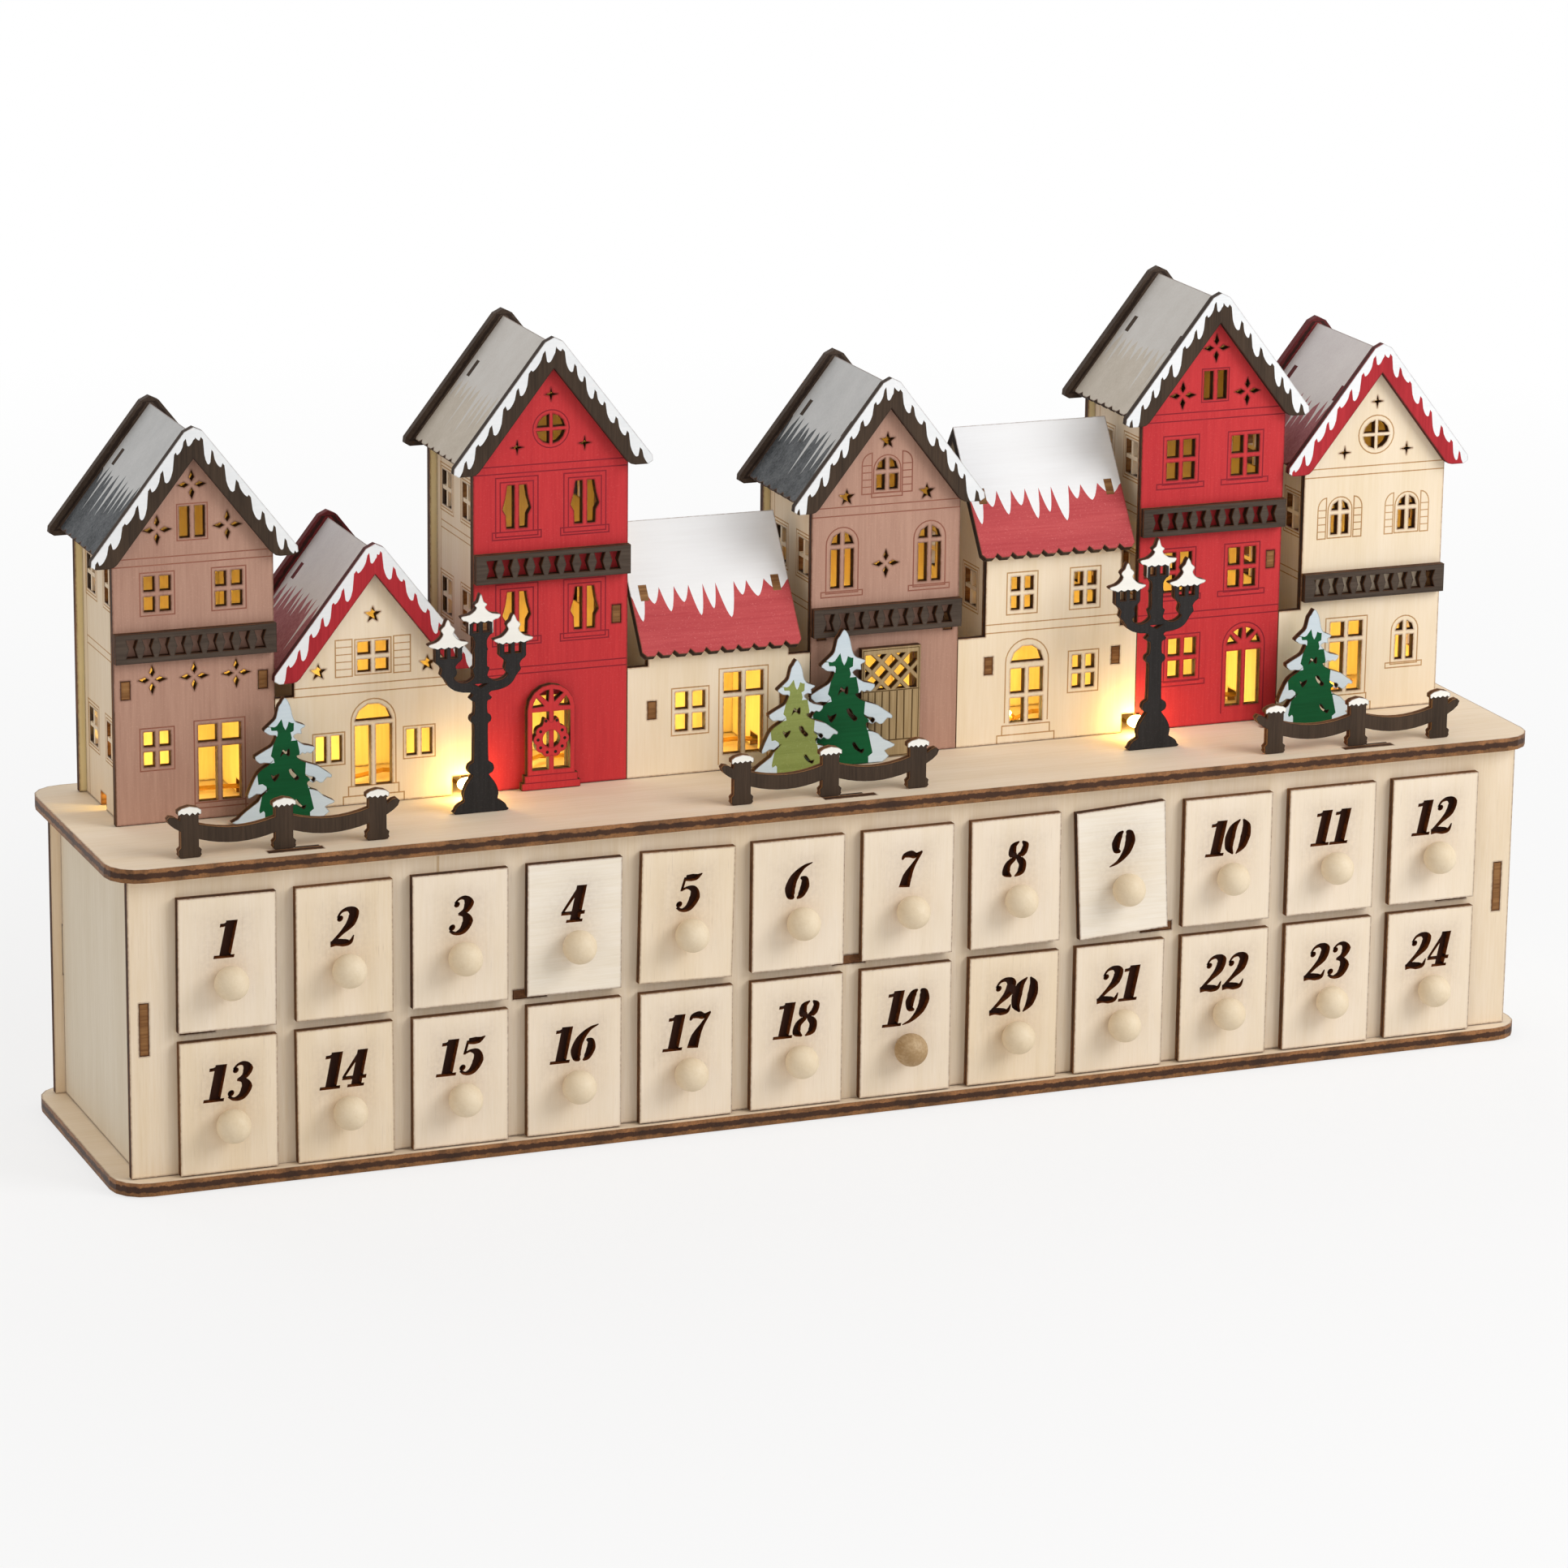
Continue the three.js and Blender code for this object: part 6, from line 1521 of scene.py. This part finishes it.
softLight("keyLight", (950, -900, 950), (0.9, 0.9), 13.5, "#ffffff")
softLight("fillLight", (-1700, -1100, 900), (1.6, 1.6), 4.3, "#ffe4bc")
softLight("backLight", (-200, 1500, 1300), (1.8, 1.2), 8, "#ffffff")


def cameraRays(tree):
    # one for a ray from the camera or off a glossy face, else nought
    seen = node(tree, "ShaderNodeLightPath").outputs
    return node(tree, "ShaderNodeMath", {0: seen["Is Camera Ray"], 1: seen["Is Glossy Ray"]},
                operation="MAXIMUM").outputs[0]


def plainStage():
    # a wide white floor that keeps the shadow, and a white surround for the camera
    mesh = bpy.data.meshes.new("floor")
    mesh.from_pydata([(-6, -6, -0.0004), (6, -6, -0.0004), (6, 6, -0.0004), (-6, 6, -0.0004)], [],
                     [(0, 1, 2, 3)])
    floor = placed("floor", mesh)
    made = bpy.data.materials.new("paleFloor")
    made.use_nodes = True
    tree = made.node_tree
    tree.nodes.clear()
    paper = node(tree, "ShaderNodeBsdfDiffuse", {"Color": (0.86, 0.86, 0.86, 1)}).outputs[0]
    shine = node(tree, "ShaderNodeEmission", {"Color": (1, 1, 1, 1), "Strength": 1.0}).outputs[0]
    away = node(tree, "ShaderNodeVectorMath", {0: node(tree, "ShaderNodeTexCoord").outputs["Object"]},
                operation="LENGTH").outputs["Value"]
    share = sums(tree, "MULTIPLY", cameraRays(tree), spread(tree, away, 0.3, 1.1, 0.72, 1.0))
    both = node(tree, "ShaderNodeMixShader", {0: share, 1: paper, 2: shine}).outputs[0]
    node(tree, "ShaderNodeOutputMaterial", {"Surface": both})
    floor.data.materials.append(made)
    world = bpy.data.worlds.new("paleWorld")
    bpy.context.scene.world = world
    world.use_nodes = True
    tree = world.node_tree
    tree.nodes.clear()
    plain = node(tree, "ShaderNodeBackground", {"Color": (1, 1, 1, 1), "Strength": 0.5}).outputs[0]
    bright = node(tree, "ShaderNodeBackground", {"Color": (1, 1, 1, 1), "Strength": 1.0}).outputs[0]
    both = node(tree, "ShaderNodeMixShader", {0: cameraRays(tree), 1: plain, 2: bright}).outputs[0]
    node(tree, "ShaderNodeOutputWorld", {"Surface": both})


plainStage()
scene = bpy.context.scene
scene.view_settings.view_transform = "Standard"
